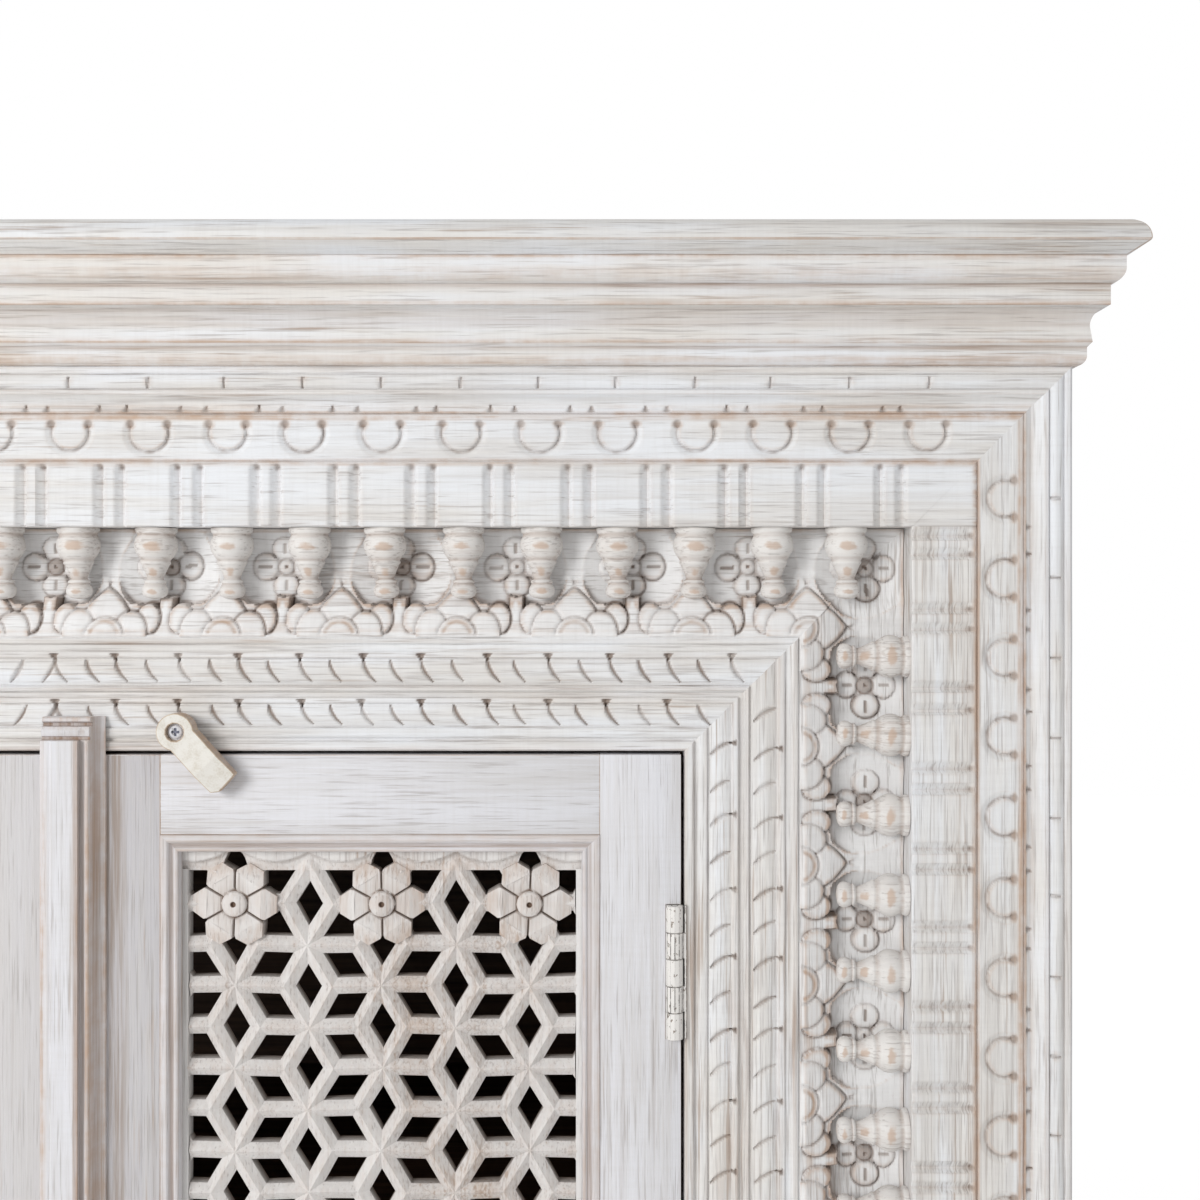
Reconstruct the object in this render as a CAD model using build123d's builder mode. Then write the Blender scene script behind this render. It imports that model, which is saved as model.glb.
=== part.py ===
from build123d import *
import os
from math import cos, radians, sin

# A whitewashed carved cabinet with two lattice doors. Millimetres, +Z up, the origin on the floor
# under the middle of the cabinet, the doors facing -Y. Relief is measured from the doors' front face:
# a surface with a relief of 5 stands 5 mm in front of the doors.

# ---------------------------------------------------------------- driving dimensions
# heights, from the floor up
foot_height = 40.0
plinth_height = 90.0
sill_height = 45.0
frieze_height = 61.5
slab_thickness = 20.5

# the lattice, which sets the size of the doors
lattice_columns = 5
lattice_rows = 8
column_pitch = 44.6
row_pitch = 50.0
window_head = 30.0
bar_width = 12.3
bar_ridge = 2.0
lattice_thickness = 13.0
lattice_recess = 9.0
lattice_edge = 1.5
lattice_tongue = 5.0
petals = 6
petal_reach = 25.0
petal_notch = 16.5
petal_half_angle = 18.0
flower_hub_radius = 8.5
flower_hub_sides = 8
flower_hub_height = 2.5

# doors
door_thickness = 22.0
bead_width = 13.0
hinge_stile_width = 48.6
meeting_stile_width = 67.0
rail_width = 48.0
tenon_thickness = 8.0
tenon_length = 24.0
tenon_shoulder = 8.0
door_gap = 2.0
fit_clearance = 0.3

# the carved surround: the width of each band, outwards from the doorway, and its relief
architrave_width = 67.8
niche_width = 66.7
fluted_width = 39.0
scroll_width = 28.0
edge_width = 28.0
surround_back = -30.0
leaf_border_width = 29.0
leaf_crest_width = 8.0
niche_relief = -18.0
fluted_relief = 12.0
scroll_relief = 10.5
edge_relief = 14.0
joint_relief = 8.5

# turned drops
drop_length = 43.0
drop_sides = 6
drop_relief = -3.0
header_drops_count = 22
header_pitch = 46.3
header_offset = -4.0
jamb_pitch = 47.4
jamb_drops_count = 15
first_jamb_drop = 78.0

# cornice, plinth and their overhangs
cornice_ground = 8.0
slab_overhang = 37.0
slab_round = 12.0
slab_chamfer_in = 11.5
slab_chamfer_up = 7.0
plinth_thickness = 18.0

# carcass
back_extent = 395.0
board = 18.0
back_panel_thickness = 8.0
side_stile = 70.0
side_panel_thickness = 8.0
side_groove = 7.0
shelf_height = 292.0
shelf_setback = 20.0
cleat = 20.0
stop_height = 12.0
foot_size = 78.0
foot_taper = 8.0
foot_inset = 4.0

# astragal on the right door
astragal_width = 35.0
astragal_relief = 18.0
astragal_overlap = 21.5
astragal_relief_behind = 2.2
astragal_end_bevel = 11.0
astragal_face_width = 20.8
astragal_bead_width = 3.2

# hinges
hinge_axis_in = 3.9
hinge_axis_relief = 1.5
knuckle_radius = 5.0
knuckle_length = 16.0
knuckle_gap = 0.4
knuckles = 5
barrel_sides = 12
leaf_thickness = 1.2
leaf_depth = 19.0
hinge_from_end = 90.0
pin_radius = 2.0
pin_sides = 12
pin_wall = 1.0
barrel_clearance = 0.6
pin_clearance = 0.05

# turn buttons
button_from_middle = 80.8
button_above_doorway = 12.8
button_angle = -48.0
button_head_radius = 11.0
button_thickness = 12.5
button_stand_off = 4.5
button_length = 43.5
button_half_width = 9.0
button_bore_radius = 2.3
button_recess_radius = 5.3
button_recess_depth = 4.5
washer_radius = 5.0
washer_seat = 0.2
turning_clearance = 0.08
screw_radius = 2.2
screw_head_radius = 3.8
screw_head_height = 2.6
screw_bite = 18.0
screw_sides = 12

# ---------------------------------------------------------------- derived sizes
window_width = (lattice_columns - 1 + 4 / 3) * column_pitch
window_height = lattice_rows * row_pitch + 2 * window_head
panel_width = window_width + 2 * bead_width
panel_height = window_height + 2 * bead_width
door_width = meeting_stile_width + panel_width + hinge_stile_width
door_height = panel_height + 2 * rail_width
half_doorway = door_gap / 2 + door_width + door_gap
doorway_height = door_height + 2 * door_gap

niche_edge = architrave_width + niche_width
fluted_edge = niche_edge + fluted_width
scroll_edge = fluted_edge + scroll_width
surround_width = scroll_edge + edge_width
half_width = half_doorway + surround_width

plinth_top = foot_height + plinth_height
doorway_bottom = plinth_top + sill_height
doorway_top = doorway_bottom + doorway_height
surround_top = doorway_top + surround_width
slab_bottom = surround_top + frieze_height
total_height = slab_bottom + slab_thickness

half_depth = (back_extent + cornice_ground + slab_overhang) / 2
door_face = slab_overhang + cornice_ground - half_depth
carcass_front = door_face - surround_back
back_face = half_depth
carcass_back = back_face - back_panel_thickness
ground_face = door_face - cornice_ground
inside = half_width - board

door_left = door_gap / 2
door_right = door_left + door_width
door_bottom = doorway_bottom + door_gap
door_top = door_bottom + door_height
panel_left = door_left + meeting_stile_width
panel_right = panel_left + panel_width
panel_bottom = door_bottom + rail_width
panel_top = panel_bottom + panel_height
window_middle = (panel_left + panel_right) / 2
first_column = window_middle - (lattice_columns - 1) / 2 * column_pitch
first_row = panel_top - bead_width - window_head

hinge_x = door_right - hinge_axis_in
hinge_y = door_face - hinge_axis_relief
hinge_length = knuckles * knuckle_length
hinge_bottoms = (door_bottom + hinge_from_end, door_top - hinge_from_end - hinge_length)


def front_y(relief):
    """The y of a surface that stands this far in front of the doors."""
    return door_face - relief


# ---------------------------------------------------------------- helpers
header_plane = Plane(origin=(0, door_face, doorway_top), x_dir=(0, 0, 1), z_dir=(1, 0, 0))
jamb_plane = Plane(origin=(half_doorway, door_face, plinth_top), x_dir=(1, 0, 0), z_dir=(0, 0, -1))
right_mitre = Plane(origin=(half_doorway, 0, doorway_top), z_dir=(-1, 0, 1))
left_mitre = Plane(origin=(-half_doorway, 0, doorway_top), z_dir=(1, 0, 1))


def header_run(outline):
    """A band of the surround over the doorway, mitred at both ends."""
    with BuildPart() as run:
        with BuildSketch(header_plane):
            with BuildLine():
                outline()
            make_face()
        extrude(amount=half_width + surround_width, both=True)
        split(bisect_by=right_mitre, keep=Keep.TOP)
        split(bisect_by=left_mitre, keep=Keep.TOP)
    return run.part


def jamb_run(outline):
    """The same band down the right side of the doorway, from its mitre to the plinth."""
    with BuildPart() as run:
        with BuildSketch(jamb_plane):
            with BuildLine():
                outline()
            make_face()
        extrude(amount=slab_bottom, dir=(0, 0, 1))
        split(bisect_by=right_mitre, keep=Keep.BOTTOM)
    return run.part


def trim_front(outline, ground, bottom):
    """A moulding planted across the front, mitred into its returns. Its outline is (projection, height)."""
    plane = Plane(origin=(0, ground, bottom), x_dir=(0, -1, 0), z_dir=(-1, 0, 0))
    with BuildPart() as run:
        with BuildSketch(plane):
            with BuildLine():
                outline()
            make_face()
        extrude(amount=2 * half_width, both=True)
        split(bisect_by=Plane(origin=(half_width, ground, 0), z_dir=(-1, -1, 0)), keep=Keep.TOP)
        split(bisect_by=Plane(origin=(-half_width, ground, 0), z_dir=(1, -1, 0)), keep=Keep.TOP)
    return run.part


def trim_return(outline, ground, bottom):
    """The same moulding planted along the right side, from the mitre to the back."""
    plane = Plane(origin=(half_width, back_face, bottom), x_dir=(1, 0, 0), z_dir=(0, -1, 0))
    with BuildPart() as run:
        with BuildSketch(plane):
            with BuildLine():
                outline()
            make_face()
        extrude(amount=3 * half_depth)
        split(bisect_by=Plane(origin=(half_width, ground, 0), z_dir=(1, 1, 0)), keep=Keep.TOP)
    return run.part


def board_between(x_range, y_range, z_range):
    """A square-edged board that fills these three ranges."""
    (x0, x1), (y0, y1), (z0, z1) = x_range, y_range, z_range
    with BuildPart() as piece:
        with BuildSketch(Plane.XY.offset(z0)):
            with Locations(((x0 + x1) / 2, (y0 + y1) / 2)):
                Rectangle(x1 - x0, y1 - y0)
        extrude(amount=z1 - z0)
    return piece.part


def stacked_rings(rings):
    """A solid with flat sides, from like polygons given as rings of points from one end to the other."""
    faces = [Face(Wire.make_polygon(rings[0])), Face(Wire.make_polygon(rings[-1]))]
    for near, far in zip(rings, rings[1:]):
        for i in range(len(near)):
            faces.append(Face(Wire.make_polygon([near[i - 1], near[i], far[i], far[i - 1]])))
    return Solid(Shell(faces))


def save(shape, name):
    """Labels one finished piece, or a group of like pieces, and writes it."""
    shape.label = name
    export_step(shape, f"parts/{name}.step")


def save_pair(right_shape, name):
    """Writes a right-hand piece, and its mirror image for the left."""
    save(right_shape, f"right_{name}")
    save(mirror(right_shape, about=Plane.YZ), f"left_{name}")


os.makedirs("parts", exist_ok=True)


# ---------------------------------------------------------------- the carved surround
def architrave_outline():
    """Jamb bead, inner cable, quirk, outer cable and border; the outer cable takes up what width is left."""
    back = surround_back
    border = architrave_width - 12.2
    Polyline((0, back), (0, -1), (1, 0), (5, 0), (6.2, -1), (6.2, -2.5), (7.8, -2.5))
    ThreePointArc((7.8, -2.5), (8.8, -0.7), (10.8, 0))
    Polyline((10.8, 0), (13.6, 0), (14.6, -1.6))
    ThreePointArc((14.6, -1.6), (21.5, 0.8), (28.6, -0.6))
    Polyline((28.6, -0.6), (29.4, 1.5), (32.2, 1.5), (32.8, -1), (35.6, -1), (36.6, 2), (38.4, 2), (39.4, 0))
    ThreePointArc((39.4, 0), ((39.4 + border) / 2, 3.2), (border, 1.4))
    Polyline((border, 1.4), (border + 1, 4), (border + 4, 4), (border + 4.8, 2.5), (border + 8.6, 2.5))
    Polyline((border + 8.6, 2.5), (border + 9.4, 4.5), (architrave_width, 4.5))
    Polyline((architrave_width, 4.5), (architrave_width, back), (0, back))


def niche_outline():
    """The carved ground of the niche: a leaf border that falls away to a flat bed."""
    Polyline(
        (architrave_width, surround_back),
        (architrave_width, 3),
        (architrave_width + leaf_crest_width, 1.5),
        (architrave_width + leaf_border_width, niche_relief),
        (niche_edge, niche_relief),
        (niche_edge, surround_back),
        (architrave_width, surround_back),
    )


def fluted_outline():
    """The thick band that the drops hang from."""
    Polyline(
        (niche_edge, surround_back),
        (niche_edge, fluted_relief),
        (fluted_edge - 1.5, fluted_relief),
        (fluted_edge, joint_relief),
        (fluted_edge, surround_back),
        (niche_edge, surround_back),
    )


def scroll_outline():
    """The flat band that carries the cut crescents."""
    Polyline(
        (fluted_edge, surround_back),
        (fluted_edge, joint_relief),
        (fluted_edge + 2, scroll_relief),
        (scroll_edge, scroll_relief),
        (scroll_edge, surround_back),
        (fluted_edge, surround_back),
    )


def edge_outline():
    """The outer moulding: splay, cove, notched bead and outer fillet; the cove takes up what is left."""
    crest = edge_relief
    cove = scroll_edge + 4
    lip = surround_width - 15.9
    bead = surround_width - 13.5
    fillet_foot = surround_width - 4.7
    Polyline((scroll_edge, surround_back), (scroll_edge, scroll_relief), (cove, crest - 6))
    ThreePointArc((cove, crest - 6), ((cove + lip) / 2 - 0.5, crest - 5), (lip, crest - 0.5))
    Polyline((lip, crest - 0.5), (lip + 1.8, crest - 0.5), (bead, crest - 2))
    ThreePointArc((bead, crest - 2), ((bead + fillet_foot) / 2, crest), (fillet_foot, crest - 2))
    Polyline((fillet_foot, crest - 2), (fillet_foot + 0.8, crest - 1.2), (surround_width - 1, crest - 1.2))
    Line((surround_width - 1, crest - 1.2), (surround_width, crest - 2.5))
    Polyline((surround_width, crest - 2.5), (surround_width, surround_back), (scroll_edge, surround_back))


def with_pilot_holes(band):
    """Pilot holes in the header for the turn buttons' screws."""
    height = doorway_top + button_above_doorway
    with BuildPart() as drilled:
        add(band)
        with BuildSketch(Plane.XZ.offset(-door_face)):
            with Locations((button_from_middle, height), (-button_from_middle, height)):
                RegularPolygon(screw_radius, screw_sides)
        extrude(amount=screw_bite, both=True, mode=Mode.SUBTRACT)
    return drilled.part


def with_leaf_mortises(band):
    """Shallow mortises in the jamb for the hinge leaves."""
    with BuildPart() as cut:
        add(band)
        for bottom in hinge_bottoms:
            space = board_between(
                (half_doorway, half_doorway + leaf_thickness),
                (door_face - knuckle_radius, hinge_y + leaf_depth),
                (bottom, bottom + hinge_length),
            )
            add(space, mode=Mode.SUBTRACT)
    return cut.part


surround_bands = {
    "architrave": architrave_outline,
    "niche_panel": niche_outline,
    "fluted_band": fluted_outline,
    "scroll_band": scroll_outline,
    "edge_moulding": edge_outline,
}
for band_name, band_outline in surround_bands.items():
    header_band = header_run(band_outline)
    jamb_band = jamb_run(band_outline)
    if band_name == "architrave":
        header_band = with_pilot_holes(header_band)
        jamb_band = with_leaf_mortises(jamb_band)
    save(header_band, f"header_{band_name}")
    save_pair(jamb_band, band_name)


# ---------------------------------------------------------------- turned drops in the niche
# distance from the fluted band and radius, down the length of one drop
drop_sections = ((0, 11.5), (11, 13.0), (20, 8.5), (29, 4.8), (36, 7.2), (drop_length, 3.0))


def make_drop():
    """One drop hanging down from the origin, with its turned profile cut to flats."""
    rings = []
    for distance, radius in drop_sections:
        turns = [radians(side * 360 / drop_sides) for side in range(drop_sides)]
        rings.append([(radius * cos(turn), radius * sin(turn), -distance) for turn in turns])
    return stacked_rings(rings)


def drop_row(places):
    """A group of drops, each a solid of its own."""
    drop = make_drop()
    return Compound(children=[drop.moved(place) for place in places])


first_header_drop = header_offset - (header_drops_count - 1) / 2 * header_pitch
header_places = [
    Location((first_header_drop + count * header_pitch, front_y(drop_relief), doorway_top + niche_edge))
    for count in range(header_drops_count)
]
save(drop_row(header_places), "header_drops")
for side, name in ((1, "right_drops"), (-1, "left_drops")):
    jamb_places = []
    for count in range(jamb_drops_count):
        height = doorway_top + niche_edge - first_jamb_drop - count * jamb_pitch
        foot_of_drop = (side * (half_doorway + niche_edge), front_y(drop_relief), height)
        jamb_places.append(Location(foot_of_drop, (0, side * 90, 0)))
    save(drop_row(jamb_places), name)


# ---------------------------------------------------------------- cornice, frieze and top slab
def crown_outline():
    """Crown moulding: ovolo, fillet, cavetto, bead and quarter round, from the top down."""
    top = frieze_height
    Polyline((0, 0), (0, top), (25.5, top), (25.5, top - 6))
    ThreePointArc((25.5, top - 6), (23.6, top - 12.4), (18.4, top - 15.6))
    Line((18.4, top - 15.6), (18.4, top - 27.4))
    ThreePointArc((18.4, top - 27.4), (11.5, top - 31.2), (8.9, top - 38.5))
    foot = 7.6
    round_foot = 5.5
    heel = foot - round_foot
    middle = round_foot * cos(radians(45))
    Polyline((8.9, top - 38.5), (10.2, top - 48), (foot, top - 50.8), (foot, round_foot))
    ThreePointArc((foot, round_foot), (heel + middle, round_foot - middle), (heel, 0))
    Line((heel, 0), (0, 0))


save(trim_front(crown_outline, ground_face, surround_top), "crown_front")
save_pair(trim_return(crown_outline, ground_face, surround_top), "crown_return")
save(
    board_between((-half_width, half_width), (ground_face, carcass_front), (surround_top, slab_bottom)),
    "frieze_rail",
)

with BuildPart() as slab:
    with BuildSketch(Plane.XY.offset(slab_bottom)):
        Rectangle(2 * (half_width + slab_overhang), 2 * half_depth)
    extrude(amount=slab_thickness)
    moulded = slab.edges().filter_by(Axis.Z, reverse=True)
    top_edges = moulded.group_by(Axis.Z)[-1].sort_by(Axis.Y)[:3]
    fillet(top_edges, slab_round)
    under_edges = slab.faces().sort_by(Axis.Z)[0].edges().sort_by(Axis.Y)[:3]
    chamfer(under_edges, slab_chamfer_in, slab_chamfer_up, reference=slab.faces().sort_by(Axis.Z)[0])
save(slab.part, "top_slab")


# ---------------------------------------------------------------- sill, plinth and feet
with BuildPart() as sill:
    with BuildSketch(Plane.YZ):
        with BuildLine():
            Polyline(
                (carcass_front, plinth_top),
                (door_face, plinth_top),
                (door_face, doorway_bottom - 12),
                (door_face + 2.5, doorway_bottom - 10.5),
                (door_face + 2.5, doorway_bottom - 9),
                (door_face, doorway_bottom - 7.5),
                (door_face, doorway_bottom - 1),
                (door_face + 1, doorway_bottom),
                (carcass_front, doorway_bottom),
                (carcass_front, plinth_top),
            )
        make_face()
    extrude(amount=half_doorway, both=True)
save(sill.part, "sill")

bottom_rail_ranges = ((-half_width, half_width), (door_face, carcass_front), (foot_height, plinth_top))
save(board_between(*bottom_rail_ranges), "bottom_rail")


def plinth_outline():
    """A plain board with a cyma and a fillet worked on its top edge."""
    top = plinth_height
    out = plinth_thickness
    Polyline((0, top), (0, 0), (out, 0), (out, top - 26), (out - 1.5, top - 24.5), (out - 1.5, top - 21))
    ThreePointArc((out - 1.5, top - 21), (out - 6.5, top - 16.5), (out - 9, top - 10))
    ThreePointArc((out - 9, top - 10), (out - 10.5, top - 6), (out - 13.5, top - 4))
    Polyline((out - 13.5, top - 4), (out - 13.5, top), (0, top))


save(trim_front(plinth_outline, door_face, foot_height), "plinth_front")
save_pair(trim_return(plinth_outline, door_face, foot_height), "plinth_return")

foot_x = half_width - foot_size / 2 + foot_inset
foot_front = door_face + foot_size / 2 - foot_inset
foot_back = back_face - foot_size / 2
foot_places = [(side * foot_x, y) for side in (1, -1) for y in (foot_front, foot_back)]
with BuildPart() as feet:
    with BuildSketch(Plane.XY.offset(foot_height)):
        with Locations(*foot_places):
            Rectangle(foot_size, foot_size)
    extrude(amount=-foot_height, taper=foot_taper)
save(feet.part, "feet")


# ---------------------------------------------------------------- carcass
top_side_rail = frieze_height + side_stile
bottom_side_rail = plinth_height + side_stile
side_x = (inside, half_width)
tongue_x = (half_width - (board + side_panel_thickness) / 2, half_width - (board - side_panel_thickness) / 2)
side_front = carcass_front + side_stile
side_back = carcass_back - side_stile
groove_front = side_front - side_groove
groove_back = side_back + side_groove
rail_heights = ((foot_height, foot_height + bottom_side_rail), (slab_bottom - top_side_rail, slab_bottom))
panel_heights = (rail_heights[0][1] - side_groove, rail_heights[1][0] + side_groove)


def side_member(y_range, z_range, groove_y, groove_z):
    """A stile or rail of the side, with the panel's groove cut away."""
    with BuildPart() as member:
        add(board_between(side_x, y_range, z_range))
        add(board_between(tongue_x, groove_y, groove_z), mode=Mode.SUBTRACT)
    return member.part


def side_rail(z_range, groove_z):
    """A rail with a tongue at each end that fills the stiles' grooves."""
    with BuildPart() as rail:
        add(board_between(side_x, (side_front, side_back), z_range))
        add(board_between(tongue_x, (groove_front, groove_back), z_range))
        add(board_between(tongue_x, (groove_front, groove_back), groove_z), mode=Mode.SUBTRACT)
    return rail.part


side_z = (foot_height, slab_bottom)
side_frame = Compound(
    children=[
        side_member((carcass_front, side_front), side_z, (groove_front, side_front), side_z),
        side_member((side_back, carcass_back), side_z, (side_back, groove_back), side_z),
        side_rail(rail_heights[0], (panel_heights[0], rail_heights[0][1])),
        side_rail(rail_heights[1], (rail_heights[1][0], panel_heights[1])),
    ]
)
save_pair(side_frame, "side_frame")
save_pair(board_between(tongue_x, (groove_front, groove_back), panel_heights), "side_panel")

inside_x = (-inside, inside)
bottom_z = (doorway_bottom - board, doorway_bottom)
shelf_z = (doorway_bottom + shelf_height - board, doorway_bottom + shelf_height)
shelf_y = (carcass_front + shelf_setback, carcass_back)
cleat_z = (shelf_z[0] - cleat, shelf_z[0])
save(board_between((-half_width, half_width), (carcass_back, back_face), side_z), "back_panel")
save(board_between(inside_x, (carcass_front, carcass_back), bottom_z), "bottom_board")
save(board_between(inside_x, shelf_y, shelf_z), "shelf")
right_cleat = board_between((inside - cleat, inside), shelf_y, cleat_z)
shelf_cleats = Compound(
    children=[
        right_cleat,
        mirror(right_cleat, about=Plane.YZ),
        board_between((cleat - inside, inside - cleat), (carcass_back - cleat, carcass_back), cleat_z),
    ]
)
save(shelf_cleats, "shelf_cleats")

stop_front = door_face + door_thickness + fit_clearance
stop_x = (-half_doorway, half_doorway)
stop_y = (stop_front, carcass_front)
door_stops = Compound(
    children=[
        board_between(stop_x, stop_y, (doorway_top - stop_height, doorway_top)),
        board_between(stop_x, stop_y, (doorway_bottom, doorway_bottom + stop_height)),
    ]
)
save(door_stops, "door_stops")


# ---------------------------------------------------------------- door frames
door_y = (door_face, door_face + door_thickness)
tenon_middle = door_face + door_thickness / 2
tenon_y = (tenon_middle - tenon_thickness / 2, tenon_middle + tenon_thickness / 2)
rail_z = {"bottom": (door_bottom, panel_bottom), "top": (panel_top, door_top)}
leaf_x = (door_right - leaf_thickness, door_right)
leaf_y = (hinge_y, hinge_y + leaf_depth)


def tenon_z(which):
    """Heights of the tenons on one rail, shouldered at the door's outer edge."""
    low, high = rail_z[which]
    if which == "bottom":
        return (low + tenon_shoulder, high)
    return (low, high - tenon_shoulder)


def stile(x_range, mortise_x):
    """A full-height stile with a mortise for each rail."""
    with BuildPart() as piece:
        add(board_between(x_range, door_y, (door_bottom, door_top)))
        for which in rail_z:
            add(board_between(mortise_x, tenon_y, tenon_z(which)), mode=Mode.SUBTRACT)
    return piece.part


def rail(which):
    """A rail that reaches from stile to stile, with a tenon at each end."""
    tenon_x = (panel_left - tenon_length + fit_clearance, panel_right + tenon_length - fit_clearance)
    with BuildPart() as piece:
        add(board_between((panel_left, panel_right), door_y, rail_z[which]))
        add(board_between(tenon_x, tenon_y, tenon_z(which)))
    return piece.part


with BuildPart() as hinge_stile:
    add(stile((panel_right, door_right), (panel_right, panel_right + tenon_length)))
    for bottom in hinge_bottoms:
        add(board_between(leaf_x, leaf_y, (bottom, bottom + hinge_length)), mode=Mode.SUBTRACT)
        with BuildSketch(Plane.XY.offset(bottom - knuckle_gap)):
            with Locations((hinge_x, hinge_y)):
                Circle(knuckle_radius + barrel_clearance)
        extrude(amount=hinge_length + 2 * knuckle_gap, mode=Mode.SUBTRACT)

save_pair(hinge_stile.part, "door_hinge_stile")
save_pair(stile((door_left, panel_left), (panel_left - tenon_length, panel_left)), "door_meeting_stile")
save_pair(rail("bottom"), "door_bottom_rail")
save_pair(rail("top"), "door_top_rail")


# ---------------------------------------------------------------- beads round the lattices
def bead_strip(length):
    """A mitred strip along X that grows inwards along +Z, rebated at the back for the lattice."""
    with BuildPart() as strip:
        with BuildSketch(Plane.YZ):
            with BuildLine():
                Polyline((-1.2, 1.2), (-1.2, 3.6), (0, 4.6))
                ThreePointArc((0, 4.6), (3.4, 8.4), (6.5, bead_width))
                Polyline(
                    (6.5, bead_width),
                    (lattice_recess, bead_width),
                    (lattice_recess, bead_width - lattice_tongue),
                    (door_thickness, bead_width - lattice_tongue),
                    (door_thickness, 0),
                    (0, 0),
                    (-1.2, 1.2),
                )
            make_face()
        extrude(amount=length / 2, both=True)
        split(bisect_by=Plane(origin=(length / 2, 0, 0), z_dir=(-1, 0, -1)), keep=Keep.TOP)
        split(bisect_by=Plane(origin=(-length / 2, 0, 0), z_dir=(1, 0, -1)), keep=Keep.TOP)
    return strip.part


panel_middle = (panel_bottom + panel_top) / 2
across = bead_strip(panel_width)
upright = bead_strip(panel_height)
bead_frame = Compound(
    children=[
        across.moved(Location((window_middle, door_face, panel_bottom))),
        across.moved(Location((window_middle, door_face, panel_top), (0, 180, 0))),
        upright.moved(Location((panel_left, door_face, panel_middle), (0, 90, 0))),
        upright.moved(Location((panel_right, door_face, panel_middle), (0, -90, 0))),
    ]
)
save_pair(bead_frame, "door_beads")


# ---------------------------------------------------------------- pierced lattices
# The lattice is set out from the first flower: x to the right and y downwards, in units of the pitches.
lattice_plane = Plane(
    origin=(first_column, front_y(-lattice_recess), first_row), x_dir=(1, 0, 0), z_dir=(0, 1, 0)
)
star_rows = range(lattice_rows + 1)
third = column_pitch / 3
half_row = row_pitch / 2
quarter_row = row_pitch / 4

upright_centres = []
falling_centres = []
rising_centres = []
for column in range(lattice_columns):
    offset = 0.5 if column % 2 == 0 else 0
    count = lattice_rows + 2 if column % 2 == 0 else lattice_rows + 1
    upright_centres += [(column * column_pitch, (row - offset) * row_pitch) for row in range(count)]
for gap in range(-1, lattice_columns):
    lean = quarter_row if gap % 2 == 0 else -quarter_row
    x = (gap + 0.5) * column_pitch
    falling_centres += [(x, row * row_pitch + lean) for row in star_rows]
    rising_centres += [(x, row * row_pitch - lean) for row in star_rows]

upright_diamond = ((0, -half_row), (third, 0), (0, half_row), (-third, 0))
falling_diamond = (
    (-column_pitch / 2, -quarter_row),
    (third / 2, -quarter_row),
    (column_pitch / 2, quarter_row),
    (-third / 2, quarter_row),
)
rising_diamond = tuple((x, -y) for x, y in reversed(falling_diamond))
front_share = 1 - bar_ridge / 2 / quarter_row
back_share = 1 - bar_width / 2 / quarter_row


def opening_blank(diamond):
    """What is cut away for one opening: a diamond that narrows from front to back between ridged bars."""
    rings = []
    for depth, share in ((0, front_share), (lattice_thickness, back_share)):
        points = [lattice_plane.from_local_coords((x * share, y * share, depth)) for x, y in diamond]
        rings.append(points)
    return stacked_rings(rings)


def flower_points():
    """Outline of a six-petalled flower, petals towards the bars and notches between them."""
    points = []
    for petal in range(petals):
        turn = petal * 360 / petals
        for angle, reach in (
            (turn - petal_half_angle, petal_reach),
            (turn + petal_half_angle, petal_reach),
            (turn + 180 / petals, petal_notch),
        ):
            points.append((reach * cos(radians(angle)), reach * sin(radians(angle))))
    return points


flower_centres = []
for column in range(0, lattice_columns, 2):
    flower_centres += [(column * column_pitch, 0), (column * column_pitch, lattice_rows * row_pitch)]
board_middle = ((lattice_columns - 1) / 2 * column_pitch, lattice_rows / 2 * row_pitch)

with BuildPart() as piercings:
    for centres, diamond in (
        (upright_centres, upright_diamond),
        (falling_centres, falling_diamond),
        (rising_centres, rising_diamond),
    ):
        blank = opening_blank(diamond)
        add([blank.moved(Location((x, 0, -y))) for x, y in centres])
    with BuildSketch(lattice_plane):
        with Locations(board_middle):
            Rectangle(window_width - 2 * lattice_edge, window_height - 2 * lattice_edge)
    extrude(amount=lattice_thickness, mode=Mode.INTERSECT)
    with BuildSketch(lattice_plane):
        with Locations(*flower_centres):
            Polygon(*flower_points())
    extrude(amount=lattice_thickness, mode=Mode.SUBTRACT)

board_grip = 2 * (lattice_tongue - fit_clearance)
with BuildPart() as lattice:
    with BuildSketch(lattice_plane):
        with Locations(board_middle):
            Rectangle(window_width + board_grip, window_height + board_grip)
    extrude(amount=lattice_thickness)
    add(piercings.part, mode=Mode.SUBTRACT)
    with BuildSketch(lattice_plane):
        with Locations(*flower_centres):
            RegularPolygon(flower_hub_radius, flower_hub_sides)
    extrude(amount=-flower_hub_height)
save_pair(lattice.part, "door_lattice")


# ---------------------------------------------------------------- astragal
def astragal_outline():
    """Flat face with a quirk and a bead at its inner side, then a cove down to the door: (across, relief)."""
    top = astragal_relief
    quirk = astragal_face_width + 2
    bead = quirk + 2.6
    bead_end = bead + astragal_bead_width
    Polyline((0, 0), (0, top - 2), (2, top), (quirk, top), (quirk, top - 4.5), (bead, top - 4.5))
    ThreePointArc((bead, top - 4.5), ((bead + bead_end) / 2, top - 3.4), (bead_end, top - 5))
    Line((bead_end, top - 5), (bead_end + 0.6, top - 7.5))
    ThreePointArc(
        (bead_end + 0.6, top - 7.5),
        (bead_end + 2.2, (top - 4.5) / 2),
        (astragal_width, 3),
    )
    Polyline((astragal_width, 3), (astragal_width, 0), (0, 0))


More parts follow.
